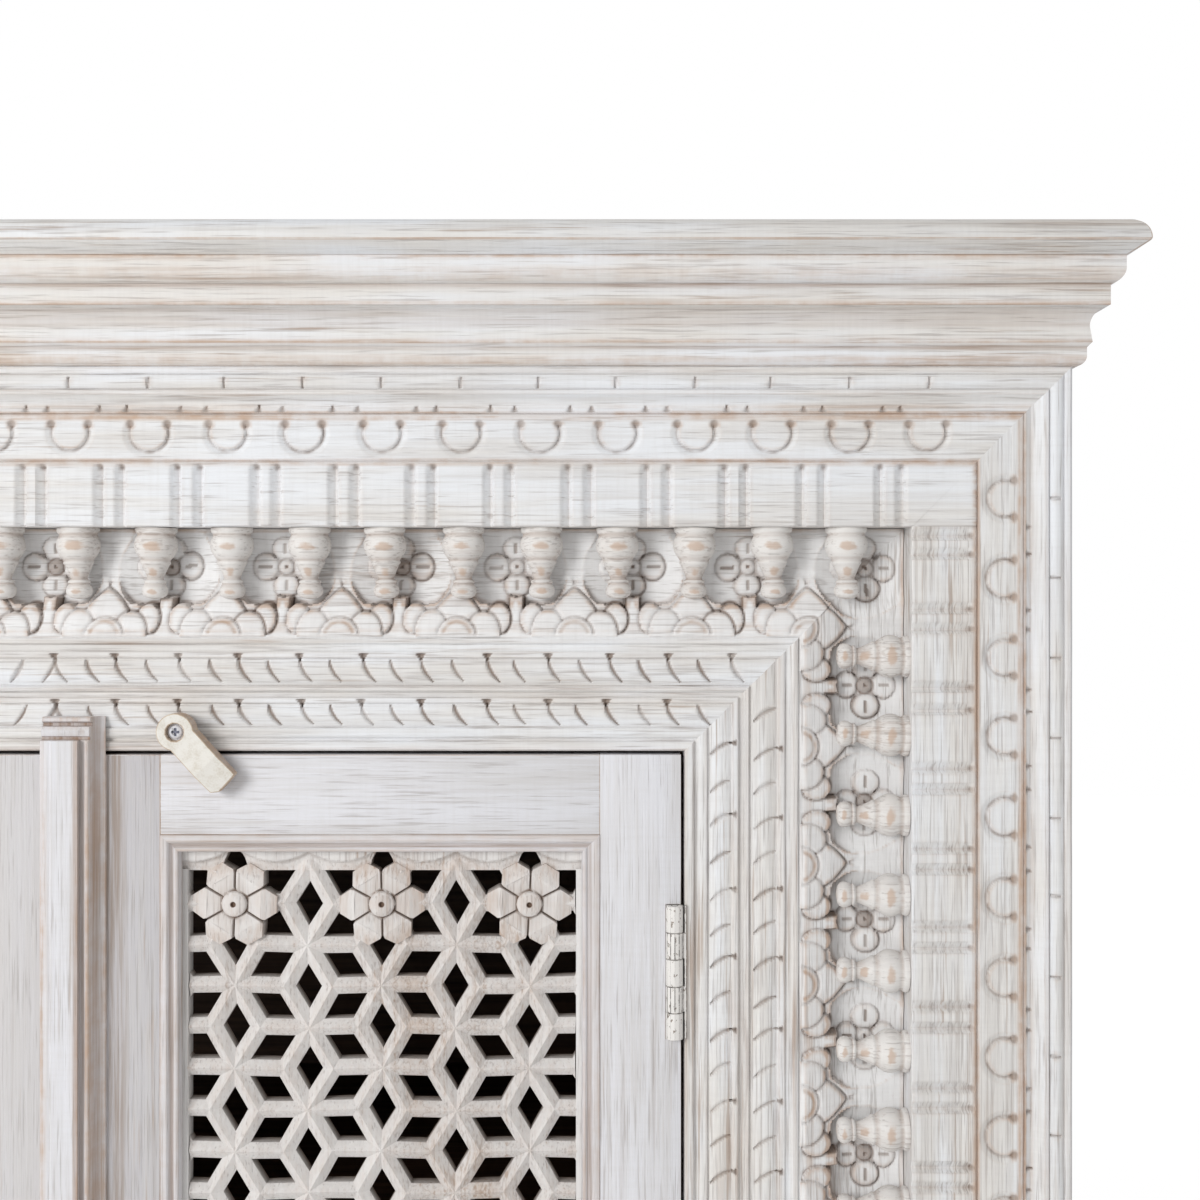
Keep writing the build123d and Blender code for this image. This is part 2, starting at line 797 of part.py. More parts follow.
astragal_top = doorway_top + astragal_overlap
astragal_plane = Plane(origin=(door_left, door_face, door_bottom), x_dir=(1, 0, 0), z_dir=(0, 0, -1))
with BuildPart() as astragal:
    with BuildSketch(astragal_plane):
        with BuildLine():
            astragal_outline()
        make_face()
    extrude(amount=door_bottom - astragal_top)
    add(
        board_between(
            (door_left, door_left + astragal_width),
            (front_y(astragal_relief_behind), door_face),
            (door_top, astragal_top),
        ),
        mode=Mode.SUBTRACT,
    )
    end_edge = astragal.faces().sort_by(Axis.Z)[-1].edges().filter_by(Axis.X).sort_by(Axis.Y)[0]
    chamfer(end_edge, astragal_end_bevel)
save(astragal.part, "astragal")


# ---------------------------------------------------------------- hinges
bore = pin_radius + pin_clearance


def barrel_blank(low, high, radius):
    """A barrel round the hinge's axis, cut to flats that stand this far from it."""
    with BuildPart() as blank:
        with BuildSketch(Plane.XY.offset(low)):
            with Locations((hinge_x, hinge_y)):
                RegularPolygon(radius, barrel_sides, major_radius=False)
        extrude(amount=high - low)
    return blank.part


def knuckle_span(bottom, number, margin):
    """Lowest and highest point of one knuckle, drawn in by a margin at each end."""
    low = bottom + number * knuckle_length
    return (low + margin, low + knuckle_length - margin)


door_numbers = range(0, knuckles, 2)
cabinet_numbers = range(1, knuckles, 2)


def door_leaf(bottom):
    """The leaf let into the door's edge, with the first, third and fifth knuckles."""
    with BuildPart() as leaf:
        add(board_between(leaf_x, leaf_y, (bottom, bottom + hinge_length)))
        for number in cabinet_numbers:
            low, high = knuckle_span(bottom, number, -knuckle_gap / 2)
            add(barrel_blank(low, high, knuckle_radius + knuckle_gap), mode=Mode.SUBTRACT)
        for number in door_numbers:
            low, high = knuckle_span(bottom, number, knuckle_gap / 2)
            add(barrel_blank(low, high, knuckle_radius))
        add(barrel_blank(bottom, bottom + hinge_length, bore), mode=Mode.SUBTRACT)
    return leaf.part


def cabinet_leaf(bottom):
    """The leaf let into the jamb, cranked across the gap to the second and fourth knuckles."""
    web_x = (hinge_x + pin_radius + pin_wall, half_doorway)
    web_y = (hinge_y - leaf_thickness / 2, hinge_y + leaf_thickness / 2)
    jamb_x = (half_doorway, half_doorway + leaf_thickness)
    with BuildPart() as leaf:
        add(board_between(jamb_x, (web_y[0], leaf_y[1]), (bottom, bottom + hinge_length)))
        for number in cabinet_numbers:
            low, high = knuckle_span(bottom, number, knuckle_gap / 2)
            add(barrel_blank(low, high, knuckle_radius))
            add(board_between(web_x, web_y, (low, high)))
        add(barrel_blank(bottom, bottom + hinge_length, bore), mode=Mode.SUBTRACT)
    return leaf.part


def hinge_pin(bottom):
    """The loose pin, flush with the ends of its barrel."""
    with BuildPart() as pin:
        with BuildSketch(Plane.XY.offset(bottom)):
            with Locations((hinge_x, hinge_y)):
                RegularPolygon(pin_radius, pin_sides)
        extrude(amount=hinge_length)
    return pin.part


save_pair(Compound(children=[door_leaf(bottom) for bottom in hinge_bottoms]), "door_hinge_leaves")
save_pair(Compound(children=[cabinet_leaf(bottom) for bottom in hinge_bottoms]), "cabinet_hinge_leaves")
save_pair(Compound(children=[hinge_pin(bottom) for bottom in hinge_bottoms]), "hinge_pins")


# ---------------------------------------------------------------- turn buttons and their screws
pivot = (button_from_middle, 0, doorway_top + button_above_doorway)
button_plane = Plane(
    origin=(pivot[0], front_y(button_stand_off), pivot[2]),
    x_dir=(cos(radians(button_angle)), 0, sin(radians(button_angle))),
    z_dir=(0, -1, 0),
)

with BuildPart() as button:
    with BuildSketch(button_plane):
        Circle(button_head_radius)
        with BuildLine():
            Polyline(
                (0, -button_half_width),
                (button_length - 3, -button_half_width),
                (button_length, -button_half_width + 4),
                (button_length - 1.5, button_half_width),
                (0, button_half_width),
                (0, -button_half_width),
            )
        make_face()
    extrude(amount=button_thickness)
    with BuildSketch(button_plane):
        RegularPolygon(button_bore_radius, screw_sides, major_radius=False)
    extrude(amount=button_thickness, mode=Mode.SUBTRACT)
    with BuildSketch(button_plane.offset(button_thickness)):
        RegularPolygon(button_recess_radius, screw_sides, major_radius=False)
    extrude(amount=-button_recess_depth, mode=Mode.SUBTRACT)
save_pair(button.part, "turn_button")

screw_plane = Plane(origin=(pivot[0], door_face, pivot[2]), x_dir=(1, 0, 0), z_dir=(0, -1, 0))
under_head = button_stand_off + button_thickness - button_recess_depth + turning_clearance
with BuildPart() as screw:
    with BuildSketch(screw_plane.offset(-screw_bite)):
        RegularPolygon(screw_radius, screw_sides)
    extrude(amount=screw_bite + under_head)
    with BuildSketch(screw_plane.offset(under_head)):
        RegularPolygon(screw_head_radius, screw_sides)
    extrude(amount=screw_head_height)

with BuildPart() as washer:
    with BuildSketch(screw_plane.offset(washer_seat)):
        RegularPolygon(washer_radius, screw_sides)
        RegularPolygon(screw_radius, screw_sides, mode=Mode.SUBTRACT)
    extrude(amount=button_stand_off - turning_clearance - washer_seat)

right_screw = Compound(children=[screw.part, washer.part])
left_screw = Compound(children=[mirror(solid, about=Plane.YZ) for solid in (screw.part, washer.part)])
save(Compound(children=[*right_screw.solids(), *left_screw.solids()]), "button_screws")

print("doors", door_width, door_height)
print("cabinet", 2 * (half_width + slab_overhang), 2 * half_depth, total_height)
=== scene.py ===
import math
import random
import bmesh
import bpy
import numpy as np
from mathutils import Matrix, Vector


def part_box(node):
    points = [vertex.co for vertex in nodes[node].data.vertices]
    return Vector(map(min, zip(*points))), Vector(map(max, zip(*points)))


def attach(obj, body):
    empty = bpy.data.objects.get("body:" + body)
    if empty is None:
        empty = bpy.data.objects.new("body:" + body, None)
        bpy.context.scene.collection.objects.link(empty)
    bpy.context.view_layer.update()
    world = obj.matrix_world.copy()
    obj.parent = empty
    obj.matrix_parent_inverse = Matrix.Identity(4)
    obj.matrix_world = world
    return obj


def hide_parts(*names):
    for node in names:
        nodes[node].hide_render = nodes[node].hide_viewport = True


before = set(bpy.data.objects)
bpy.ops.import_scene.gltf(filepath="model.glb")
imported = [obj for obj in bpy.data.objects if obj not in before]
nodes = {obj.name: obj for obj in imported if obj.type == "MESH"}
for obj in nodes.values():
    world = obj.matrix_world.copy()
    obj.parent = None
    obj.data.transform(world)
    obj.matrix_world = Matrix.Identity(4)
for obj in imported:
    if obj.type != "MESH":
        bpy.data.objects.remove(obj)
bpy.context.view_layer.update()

mm = 0.001

# places taken from the frame, in millimetres


def cadBox(name):
    low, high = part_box(name)
    return [c / mm for c in low], [c / mm for c in high]


doorFace = cadBox("right_door_top_rail")[0][1]
doorwayTop = cadBox("header_architrave")[0][2]
halfDoorway = cadBox("right_architrave")[0][0]
plinthTop = cadBox("right_architrave")[0][2]
surroundBack = cadBox("header_niche_panel")[1][1]
jambLength = doorwayTop - plinthTop
bothSides = ((1, "right"), (-1, "left"))
print("frame read: doorway half width", round(halfDoorway, 1), "top", round(doorwayTop, 1))

# small tools for shader trees


def place(tree, kind, inputs=None, **settings):
    made = tree.nodes.new(kind)
    for key, value in settings.items():
        setattr(made, key, value)
    for key, value in (inputs or {}).items():
        socket = made.inputs[key]
        if isinstance(value, bpy.types.NodeSocket):
            tree.links.new(value, socket)
        else:
            socket.default_value = value
    return made


def maths(tree, operation, a, b=0.0, clamp=False):
    made = place(tree, "ShaderNodeMath", {0: a, 1: b}, operation=operation, use_clamp=clamp)
    return made.outputs[0]


def summed(tree, *parts):
    # sockets added up, each whole or as a pair with its share
    total = None
    for part in parts:
        if isinstance(part, tuple):
            part = maths(tree, "MULTIPLY", *part)
        total = part if total is None else maths(tree, "ADD", total, part)
    return total


def ramp(tree, value, low, high, toLow=0.0, toHigh=1.0):
    made = place(
        tree,
        "ShaderNodeMapRange",
        {"Value": value, "From Min": low, "From Max": high, "To Min": toLow, "To Max": toHigh},
        interpolation_type="SMOOTHSTEP",
    )
    return made.outputs["Result"]


def mixed(tree, factor, a, b):
    made = place(tree, "ShaderNodeMix", {0: factor, 6: a, 7: b}, data_type="RGBA")
    return made.outputs[2]


def stretchedNoise(tree, stretch, detail=3.0, roughness=0.55, offset=0.0):
    coords = place(tree, "ShaderNodeTexCoord").outputs["Object"]
    moved = (offset, offset * 0.7, offset * 1.3)
    mapped = place(tree, "ShaderNodeMapping", {"Vector": coords, "Location": moved, "Scale": stretch})
    settings = {"Vector": mapped.outputs[0], "Scale": 1.0, "Detail": detail, "Roughness": roughness}
    return place(tree, "ShaderNodeTexNoise", settings).outputs["Fac"]


def mark(tree, label):
    # what a piece's mesh says at each of its points: grime, worn, bald, and stain that also carries painted
    # shade
    return place(tree, "ShaderNodeAttribute", attribute_name=label).outputs["Fac"]


def colour(red, green, blue):
    linear = []
    for part in (red, green, blue):
        c = part / 255
        linear.append(c / 12.92 if c <= 0.04045 else ((c + 0.055) / 1.055) ** 2.4)
    return (*linear, 1.0)


def emptyFinish(name):
    material = bpy.data.materials.new(name)
    material.use_nodes = True
    return material, material.node_tree


def laidOn(material, base, roughness, height, bump, specular=0.5):
    # bump is the relief's strength and its height in metres
    tree = material.node_tree
    shader = tree.nodes["Principled BSDF"]
    tree.links.new(base, shader.inputs["Base Color"])
    tree.links.new(roughness, shader.inputs["Roughness"])
    relief = place(tree, "ShaderNodeBump", {"Strength": bump[0], "Distance": bump[1], "Height": height})
    tree.links.new(relief.outputs[0], shader.inputs["Normal"])
    shader.inputs["Specular IOR Level"].default_value = specular
    return shader


# whitewashed wood
whitewash = {
    "paint": colour(230, 232, 235),
    "creamPaint": colour(230, 227, 222),
    "thinPaint": colour(204, 201, 199),
    "tan": colour(208, 184, 162),
    "bareWood": colour(168, 147, 131),
    "edgeWood": colour(192, 166, 146),
    "dirt": colour(150, 124, 106),
    # the brown of stain in the cuts, also painted where there is shade
    "stainAndShade": colour(120, 99, 84),
    "pores": colour(174, 168, 165),
    "grainLine": colour(138, 120, 107),
    "grainAlong": 9.0,  # waves per metre along the grain
    "grainAcross": 330.0,
    "wear": 0.6,
    "bald": colour(192, 163, 140),
    # the brown-grey of a painted shadow beside a strip
    "shadowBrown": colour(160, 147, 138),
    "shadeBeside": (7.0, 14.0),  # from a strip's side, its painted shadow covers all of this and some of that
    "carvedDepth": 0.22,  # draws the grain out front to back on carved faces
}


def whitewashed(
    name, grain, wear=whitewash["wear"], tint=None, edge=0.0, bald=False, beside=None, thinned=0.75, depth=1.0
):
    finish = whitewash
    paint = tint or finish["paint"]
    material, tree = emptyFinish(name)

    def stretch(along, across):
        # depth draws the pattern out front to back, so that it doesn't speckle the sides of a cut
        return tuple(along if axis == grain else across * (depth if axis == "y" else 1) for axis in "xyz")

    along, across = finish["grainAlong"], finish["grainAcross"]
    fine = stretchedNoise(tree, stretch(along * 1.6, across * 1.5), 4.0, 0.62)
    pores = stretchedNoise(tree, stretch(along * 2.6, across * 2.4), 2.0, 0.6, 12.3)
    broad = stretchedNoise(tree, stretch(along * 0.5, across * 0.16), 4.0, 0.6, 3.1)
    lines = stretchedNoise(tree, stretch(along * 0.8, across * 1.1), 5.0, 0.6, 9.4)
    brushed = stretchedNoise(tree, stretch(across * 1.1, along * 3.0), 3.0, 0.6, 7.9)
    patches = stretchedNoise(tree, stretch(5.0, 11.0), 3.0, 0.6, 5.7)
    spots = stretchedNoise(tree, (95.0, 95.0, 95.0), 3.0, 0.6, 1.3)

    thin = ramp(tree, summed(tree, broad, (fine, 0.7)), 0.66, 1.16, 0.0, thinned)
    clouds = ramp(tree, summed(tree, broad, (patches, 0.8)), 0.72, 1.08)
    body = paint if tint else mixed(tree, clouds, paint, finish["creamPaint"])
    body = mixed(tree, thin, body, finish["thinPaint"])
    # the marks of a brush drawn across the grain
    strokes = ramp(tree, summed(tree, brushed, (patches, 0.4)), 0.6, 0.9, 0.0, 0.14)
    body = mixed(tree, strokes, body, finish["thinPaint"])
    # open pores along the grain
    openPores = ramp(tree, summed(tree, pores, (patches, 0.3)), 0.68, 0.86, 0.0, 0.6)
    body = mixed(tree, openPores, body, finish["pores"])
    # wood that warms the paint, in long patches
    warm = ramp(tree, summed(tree, (patches, 0.85), (broad, 0.5), (fine, 0.3)), 0.93, 1.24)
    body = mixed(tree, maths(tree, "MULTIPLY", warm, wear), body, finish["tan"])
    # brushed-off streaks, in patches
    bare = ramp(tree, summed(tree, (lines, 0.75), (fine, 0.35), (patches, 0.5)), 0.9, 1.02)
    bare = maths(tree, "MULTIPLY", bare, wear, clamp=True)
    body = mixed(tree, bare, body, finish["bareWood"])
    # thin lines that wander along the grain
    wavy = stretchedNoise(tree, stretch(0.9, 85.0), 2.0, 0.5, 21.7)
    fromLine = maths(tree, "ABSOLUTE", maths(tree, "SUBTRACT", wavy, 0.5))
    showing = ramp(tree, summed(tree, patches, (broad, 0.6)), 0.7, 1.0, 0.0, 0.28)
    grainLine = maths(tree, "MULTIPLY", ramp(tree, fromLine, 0.004, 0.02, 1.0, 0.0), showing)
    body = mixed(tree, grainLine, body, finish["grainLine"])
    # edges rubbed back to the wood
    rubbed = ramp(tree, summed(tree, (spots, 0.3), (lines, 0.5), (patches, 0.35)), 0.47, 0.69, 0.25, 1.0)
    edgeShare = maths(tree, "ADD", mark(tree, "worn"), edge, clamp=True)
    body = mixed(tree, maths(tree, "MULTIPLY", edgeShare, rubbed, clamp=True), body, finish["edgeWood"])
    if bald:
        # patches rubbed through to the wood
        patch = mark(tree, "bald")
        speckled = summed(tree, patch, summed(tree, (spots, 1.1), (pores, 0.5)))
        through = ramp(tree, speckled, 1.05, 1.5, 0.0, 0.62)
        through = maths(tree, "MULTIPLY", through, ramp(tree, patch, 0.05, 0.35))
        body = mixed(tree, through, body, finish["bald"])
    if beside:
        # painted shadow: the strip beside it darkens the paint close to it, in streaks
        spot = place(tree, "ShaderNodeTexCoord").outputs["Object"]
        sideways = place(tree, "ShaderNodeSeparateXYZ", {0: spot}).outputs[0]
        shadeBeside = ramp(tree, summed(tree, fine, (lines, 0.6)), 0.6, 0.95, 0.1, 0.9)
        shadeBeside = maths(tree, "MULTIPLY", shadeBeside, ramp(tree, sideways, *beside, 1.0, 0.0))
        body = mixed(tree, shadeBeside, body, finish["shadowBrown"])
    # dirt in the cuts
    settled = ramp(tree, summed(tree, lines, (patches, 0.6)), 0.5, 0.95, 0.35, 1.0)
    settled = maths(tree, "MULTIPLY", mark(tree, "grime"), settled, clamp=True)
    body = mixed(tree, settled, body, finish["dirt"])
    # stain in the cuts, and painted shade where the mark carries it
    body = mixed(tree, mark(tree, "stainAndShade"), body, finish["stainAndShade"])
    height = summed(tree, (fine, 0.6), (lines, 0.9), (openPores, -0.5), (bare, -0.35), (grainLine, -0.4))
    laidOn(material, body, ramp(tree, fine, 0.2, 0.8, 0.62, 0.86), height, (0.5, 0.0009), 0.25)
    return material


paintAcross = whitewashed("whitewash, grain across", "x")
paintUpright = whitewashed("whitewash, grain upright", "z")
paintDeep = whitewashed("whitewash, grain front to back", "y")
carvedLook = {"depth": whitewash["carvedDepth"]}
carvedAcross = whitewashed("carved whitewash, grain across", "x", **carvedLook)
carvedUpright = whitewashed("carved whitewash, grain upright", "z", **carvedLook)
crownLook = {"wear": 0.75, "thinned": 0.35}
crownAcross = whitewashed("crown whitewash, grain across", "x", **crownLook)
crownDeep = whitewashed("crown whitewash, grain front to back", "y", **crownLook)
doorLook = {"wear": 0.5, "tint": colour(222, 222, 226)}
doorAcross = whitewashed("door whitewash, grain across", "x", **doorLook)
doorUpright = whitewashed("door whitewash, grain upright", "z", **doorLook)
rubbedLook = {"wear": 0.7, "edge": 0.75}
wornAcross = whitewashed("rubbed edge, grain across", "x", **rubbedLook)
wornUpright = whitewashed("rubbed edge, grain upright", "z", **rubbedLook)
wornDeep = whitewashed("rubbed edge, grain front to back", "y", **rubbedLook)
turnedLook = {"wear": 0.25, "tint": colour(230, 228, 225), "bald": True, "thinned": 0.4, "depth": 0.4}
turnedPaint = whitewashed("whitewash on turned wood", "x", **turnedLook)
# the niche is painted paler than the other carving: painted light that lifts its shade
nicheLook = {"wear": 0.3, "tint": colour(236, 236, 236), "thinned": 0.3, "depth": whitewash["carvedDepth"]}
nicheAcross = whitewashed("niche whitewash, grain across", "x", **nicheLook)
nicheUpright = whitewashed("niche whitewash, grain upright", "z", **nicheLook)
# the astragal's shadow is painted onto the right meeting stile beside it
besideStrip = [(cadBox("astragal")[1][0] + shadeBeside) * mm for shadeBeside in whitewash["shadeBeside"]]
# the right meeting stile is tinted darker than the left: painted shade from the astragal
leftTint, rightShadedTint = colour(208, 206, 207), colour(197, 195, 198)
leftMeeting = whitewashed("left meeting stile whitewash", "z", tint=leftTint)
rightMeeting = whitewashed("right meeting stile whitewash, painted shade", "z", tint=rightShadedTint, beside=besideStrip)
latticePaint = whitewashed("whitewash on the lattice", "z", 0.7, colour(226, 224, 222))
bareEdge = whitewashed("bare sawn edge", "y", 0.9, colour(186, 162, 140), 0.6)


def oiledBoards(name, grain):
    material, tree = emptyFinish(name)
    rings = stretchedNoise(tree, tuple(5.0 if axis == grain else 160.0 for axis in "xyz"), 5.0, 0.6)
    cloud = stretchedNoise(tree, (5.0, 5.0, 5.0), 2.0, 0.5, 2.0)
    share = ramp(tree, summed(tree, rings, (cloud, 0.3)), 0.4, 0.9)
    base = mixed(tree, share, colour(92, 66, 48), colour(52, 37, 28))
    laidOn(material, base, ramp(tree, rings, 0.2, 0.8, 0.5, 0.75), rings, (0.25, 0.0006))
    return material


oiled = oiledBoards("oiled boards", "x")


def chippedIron(name, base, chip, threshold, specular=0.5):
    material, tree = emptyFinish(name)
    chips = stretchedNoise(tree, (420.0, 420.0, 260.0), 4.0, 0.6)
    share = ramp(tree, chips, threshold, threshold + 0.05)
    roughness = ramp(tree, chips, 0.3, 0.7, 0.42, 0.62)
    height = maths(tree, "SUBTRACT", 1.0, share)
    shader = laidOn(material, mixed(tree, share, base, chip), roughness, height, (0.4, 0.0004), specular)
    tree.links.new(ramp(tree, share, 0.0, 1.0, 0.0, 0.75), shader.inputs["Metallic"])
    return material


hingePaint = chippedIron("painted hinge iron", colour(226, 223, 219), colour(132, 122, 112), 0.6)
hingeChips = chippedIron("chipped hinge edges", colour(196, 190, 184), colour(96, 92, 90), 0.42)


def thickPaint(name, base, dirt):
    # one thick coat, dabbed on, that hides the grain
    material, tree = emptyFinish(name)
    clouds = stretchedNoise(tree, (110.0, 110.0, 110.0), 4.0, 0.6)
    specks = stretchedNoise(tree, (900.0, 900.0, 900.0), 3.0, 0.6, 4.0)
    share = ramp(tree, summed(tree, clouds, (specks, 0.5)), 0.66, 0.98, 0.0, 0.8)
    roughness = ramp(tree, clouds, 0.3, 0.7, 0.55, 0.75)
    height = summed(tree, clouds, (specks, 0.35))
    laidOn(material, mixed(tree, share, base, dirt), roughness, height, (0.35, 0.0006), 0.3)
    return material


buttonPaint = thickPaint("cream paint on the buttons", colour(226, 223, 216), colour(206, 199, 186))
buttonEdge = thickPaint("rubbed button edge", colour(204, 188, 168), colour(168, 146, 122))
zinc = chippedIron("bright zinc", colour(216, 217, 222), colour(160, 160, 162), 0.6, 0.6)
# a dark blue-grey painted into the cross of each screw: painted shade
crossShade = chippedIron("painted shade in the screw's cross", colour(112, 114, 128), colour(84, 84, 92), 0.6)
print("finishes mixed")

# small tools for meshes


def fresh(name, mesh):
    made = bpy.data.objects.new(name, mesh)
    bpy.context.scene.collection.objects.link(made)
    return made


def softShade(mesh, degrees=38):
    mesh.shade_smooth()
    mesh.set_sharp_from_angle(angle=math.radians(degrees))


def stocked(name, points, faces, marks=None):
    # a mesh from points in millimetres, with the marks that its finish reads
    mesh = bpy.data.meshes.new(name)
    mesh.from_pydata((np.array(points) * mm).tolist(), [], faces)
    for label, values in (marks or {}).items():
        mesh.attributes.new(label, "FLOAT", "POINT").data.foreach_set("value", np.array(values, np.float32))
    return mesh


def gridFaces(index):
    # the four corners of every face in a grid of points
    return np.stack([index[:-1, :-1], index[:-1, 1:], index[1:, 1:], index[1:, :-1]], -1)


def coated(mesh, *finishes):
    for finish in finishes:
        mesh.materials.append(finish)


def workOn(mesh):
    work = bmesh.new()
    work.from_mesh(mesh)
    return work


def joined(mesh, degrees):
    # loose triangles made whole faces again
    work = workOn(mesh)
    bmesh.ops.remove_doubles(work, verts=work.verts, dist=1e-6)
    bmesh.ops.dissolve_limit(work, angle_limit=math.radians(degrees), verts=work.verts, edges=work.edges)
    return work


def poured(work, mesh):
    # the work goes back into its mesh, with its faces outwards
    bmesh.ops.recalc_face_normals(work, faces=work.faces)
    work.to_mesh(mesh)
    work.free()


def rightWayOut(mesh):
    poured(workOn(mesh), mesh)


def scored(work, point, direction, clear=False):
    # a line of points where a plane meets the work; clear takes off what lies beyond it
    everything = work.verts[:] + work.edges[:] + work.faces[:]
    how = {"dist": 1e-7, "plane_co": point, "plane_no": direction, "clear_outer": clear}
    bmesh.ops.bisect_plane(work, geom=everything, **how)


def evaluated(piece):
    # the mesh that a piece's modifiers make
    bpy.context.view_layer.update()
    depsgraph = bpy.context.evaluated_depsgraph_get()
    return bpy.data.meshes.new_from_object(piece.evaluated_get(depsgraph))


def around(sides, start=0.0):
    # the directions to the corners of a ring
    turns = [2 * math.pi * k / sides + start for k in range(sides)]
    return [(math.cos(turn), math.sin(turn)) for turn in turns]


def ringFaces(first, rings, sides):
    # faces between rings of points that follow one another
    faces = []
    for row in range(rings - 1):
        for k in range(sides):
            a, b = first + row * sides + k, first + row * sides + (k + 1) % sides
            faces.append((a, b, b + sides, a + sides))
    return faces


def seat(piece, body, slot, *replaced):
    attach(piece, body)
    if replaced:
        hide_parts(*replaced)


def blurred(grid, reach):
    taps = np.exp(-0.5 * (np.arange(-2 * reach, 2 * reach + 1) / reach) ** 2)
    taps /= taps.sum()
    padded = np.pad(grid, 2 * reach, mode="edge")
    rows = np.apply_along_axis(lambda line: np.convolve(line, taps, mode="same"), 0, padded)
    both = np.apply_along_axis(lambda line: np.convolve(line, taps, mode="same"), 1, rows)
    return both[2 * reach:-2 * reach, 2 * reach:-2 * reach]


# carved surround
surround = {
    "nicheEdge": 134.5,  # the niche's outer edge, out from the doorway
    "flutedEdge": 173.5,
    "nicheBack": -18.0,  # heights are over the door's face
    "along": 0.95,  # mesh pitch along a band
    "across": 0.9,
    "cornerFlower": 110.0,  # from the doorway to the middle of the flower in the corner
    "headerFlowers": 7,  # steps from the middle of the header to the corner
    "jambPitch": 71.3,  # from one flower to the next
    "jambFlowers": 11,
    "leftOfDrops": 1.5,  # the header's arcs and flutes keep this far left of its drops
}
drops = {
    "headerPitch": 46.3,
    "headerOffset": -4.0,
    "headerCount": 22,
    "jambPitch": 47.4,
    "firstJamb": 78.0,
    "jambCount": 15,
    "relief": -3.0,
}


def evenly(first, pitch, steps, shift=0):
    return [first + (k + shift) * pitch for k in steps]


firstHeaderDrop = drops["headerOffset"] - (drops["headerCount"] - 1) / 2 * drops["headerPitch"]
headerDrops = evenly(firstHeaderDrop, drops["headerPitch"], range(drops["headerCount"]))
firstJambDrop = drops["firstJamb"] - surround["nicheEdge"]  # distance down from the doorway's top
jambDrops = evenly(firstJambDrop, drops["jambPitch"], range(drops["jambCount"]))

# every ornament of the header and the jambs keeps step with the drops
headerStart = firstHeaderDrop - surround["leftOfDrops"]
flowerSpan = halfDoorway + surround["cornerFlower"]
flowerSteps = surround["headerFlowers"]
jambFlowers = -surround["cornerFlower"], surround["jambPitch"], range(surround["jambFlowers"])
ornament = {
    "header": {
        "arcs": evenly(headerStart, drops["headerPitch"], range(-1, drops["headerCount"] + 1)),
        "flutes": evenly(headerStart, drops["headerPitch"], range(0, drops["headerCount"] + 1), -0.5),
        "flowers": [k * flowerSpan / flowerSteps for k in range(-flowerSteps, flowerSteps + 1)],
        "leaves": [(k + 0.5) * flowerSpan / flowerSteps for k in range(-flowerSteps, flowerSteps)],
        "mirror": 5.3,
    },
    "jamb": {
        "arcs": evenly(firstJambDrop, drops["jambPitch"], range(-2, drops["jambCount"])),
        "flutes": evenly(firstJambDrop, drops["jambPitch"], range(-1, drops["jambCount"] + 1), -0.5),
        "flowers": evenly(*jambFlowers),
        "leaves": evenly(*jambFlowers, 0.5),
        "mirror": -216.6,
    },
}


def profileLine(points):
    return lambda w: np.interp(w, *zip(*points))


def bowed(start, middle, end, count=7):
    # points along a curve through three places
    points = []
    for k in range(count + 1):
        t = k / count
        a, b, c = (1 - t) ** 2, 2 * t * (1 - t), t * t
        points.append(tuple(a * p + b * (2 * q - (p + r) / 2) + c * r for p, q, r in zip(start, middle, end)))
    return points


architraveProfile = (
    [(0, -3.5), (0.5, -0.9), (1.3, 0), (4.8, 0), (5.7, -0.7), (6.2, -2.7), (7.6, -2.7)]
    + bowed((7.9, -2.0), (9.0, -0.7), (10.6, 0))
    + [(13.2, 0), (13.8, -0.4), (14.4, -1.9)]
    + bowed((14.7, -1.6), (21.5, 0.8), (28.3, -0.8))
    + [(28.8, -0.5), (29.4, 1.3), (29.9, 1.5), (31.8, 1.5), (32.3, 1.1), (32.8, -1.1), (35.2, -1.1)]
    + [(35.8, 0.3), (36.7, 1.9), (38.2, 2.0), (38.8, 1.4), (39.4, -0.3)]
    + bowed((39.7, 0.1), (47.5, 3.2), (55.3, 1.2))
    + [(55.9, 1.6), (56.6, 3.8), (57.2, 4.0), (59.3, 4.0), (60.0, 3.6), (60.5, 2.4), (63.9, 2.4), (64.6, 3.2)]
    + [(65.2, 4.4), (67.0, 4.5), (67.8, 4.0)]
)
flutedProfile = [(134.5, 11.2), (135.3, 12), (171.6, 12), (172.4, 11.6), (173.0, 10.6), (173.5, 9.6)]
scrollProfile = [(173.5, 9.6), (174.0, 10.1), (174.6, 10.5), (200.0, 10.5), (200.8, 10.1), (201.5, 9.2)]
edgeProfile = (
    [(201.5, 9.2), (202.2, 10.2), (205.4, 8.3)]
    + bowed((205.8, 8.0), (209.2, 9.2), (212.6, 13.0))
    + [(213.1, 13.5), (215.0, 13.5), (215.5, 13.0), (215.9, 11.6)]
    + bowed((216.2, 12.0), (220.4, 13.9), (224.4, 12.0))
    + [(224.8, 11.3), (225.4, 12.4), (226.0, 12.8), (228.2, 12.8), (229.5, 11.5)]
)


def sharpened(profile, spacing):
    # the profile's own corners, with even steps between them
    lines = [profile[0][0]]
    for x, _ in profile[1:]:
        gap = x - lines[-1]
        steps = max(1, int(math.ceil(gap / spacing)))
        lines += [lines[-1] + gap * (k + 1) / steps for k in range(steps)]
    return np.array(lines)


def gouge(distance, halfWidth):
    # depth share of a rounded cut at this distance from its middle line
    return np.clip(1 - (distance / halfWidth) ** 2, 0, 1)


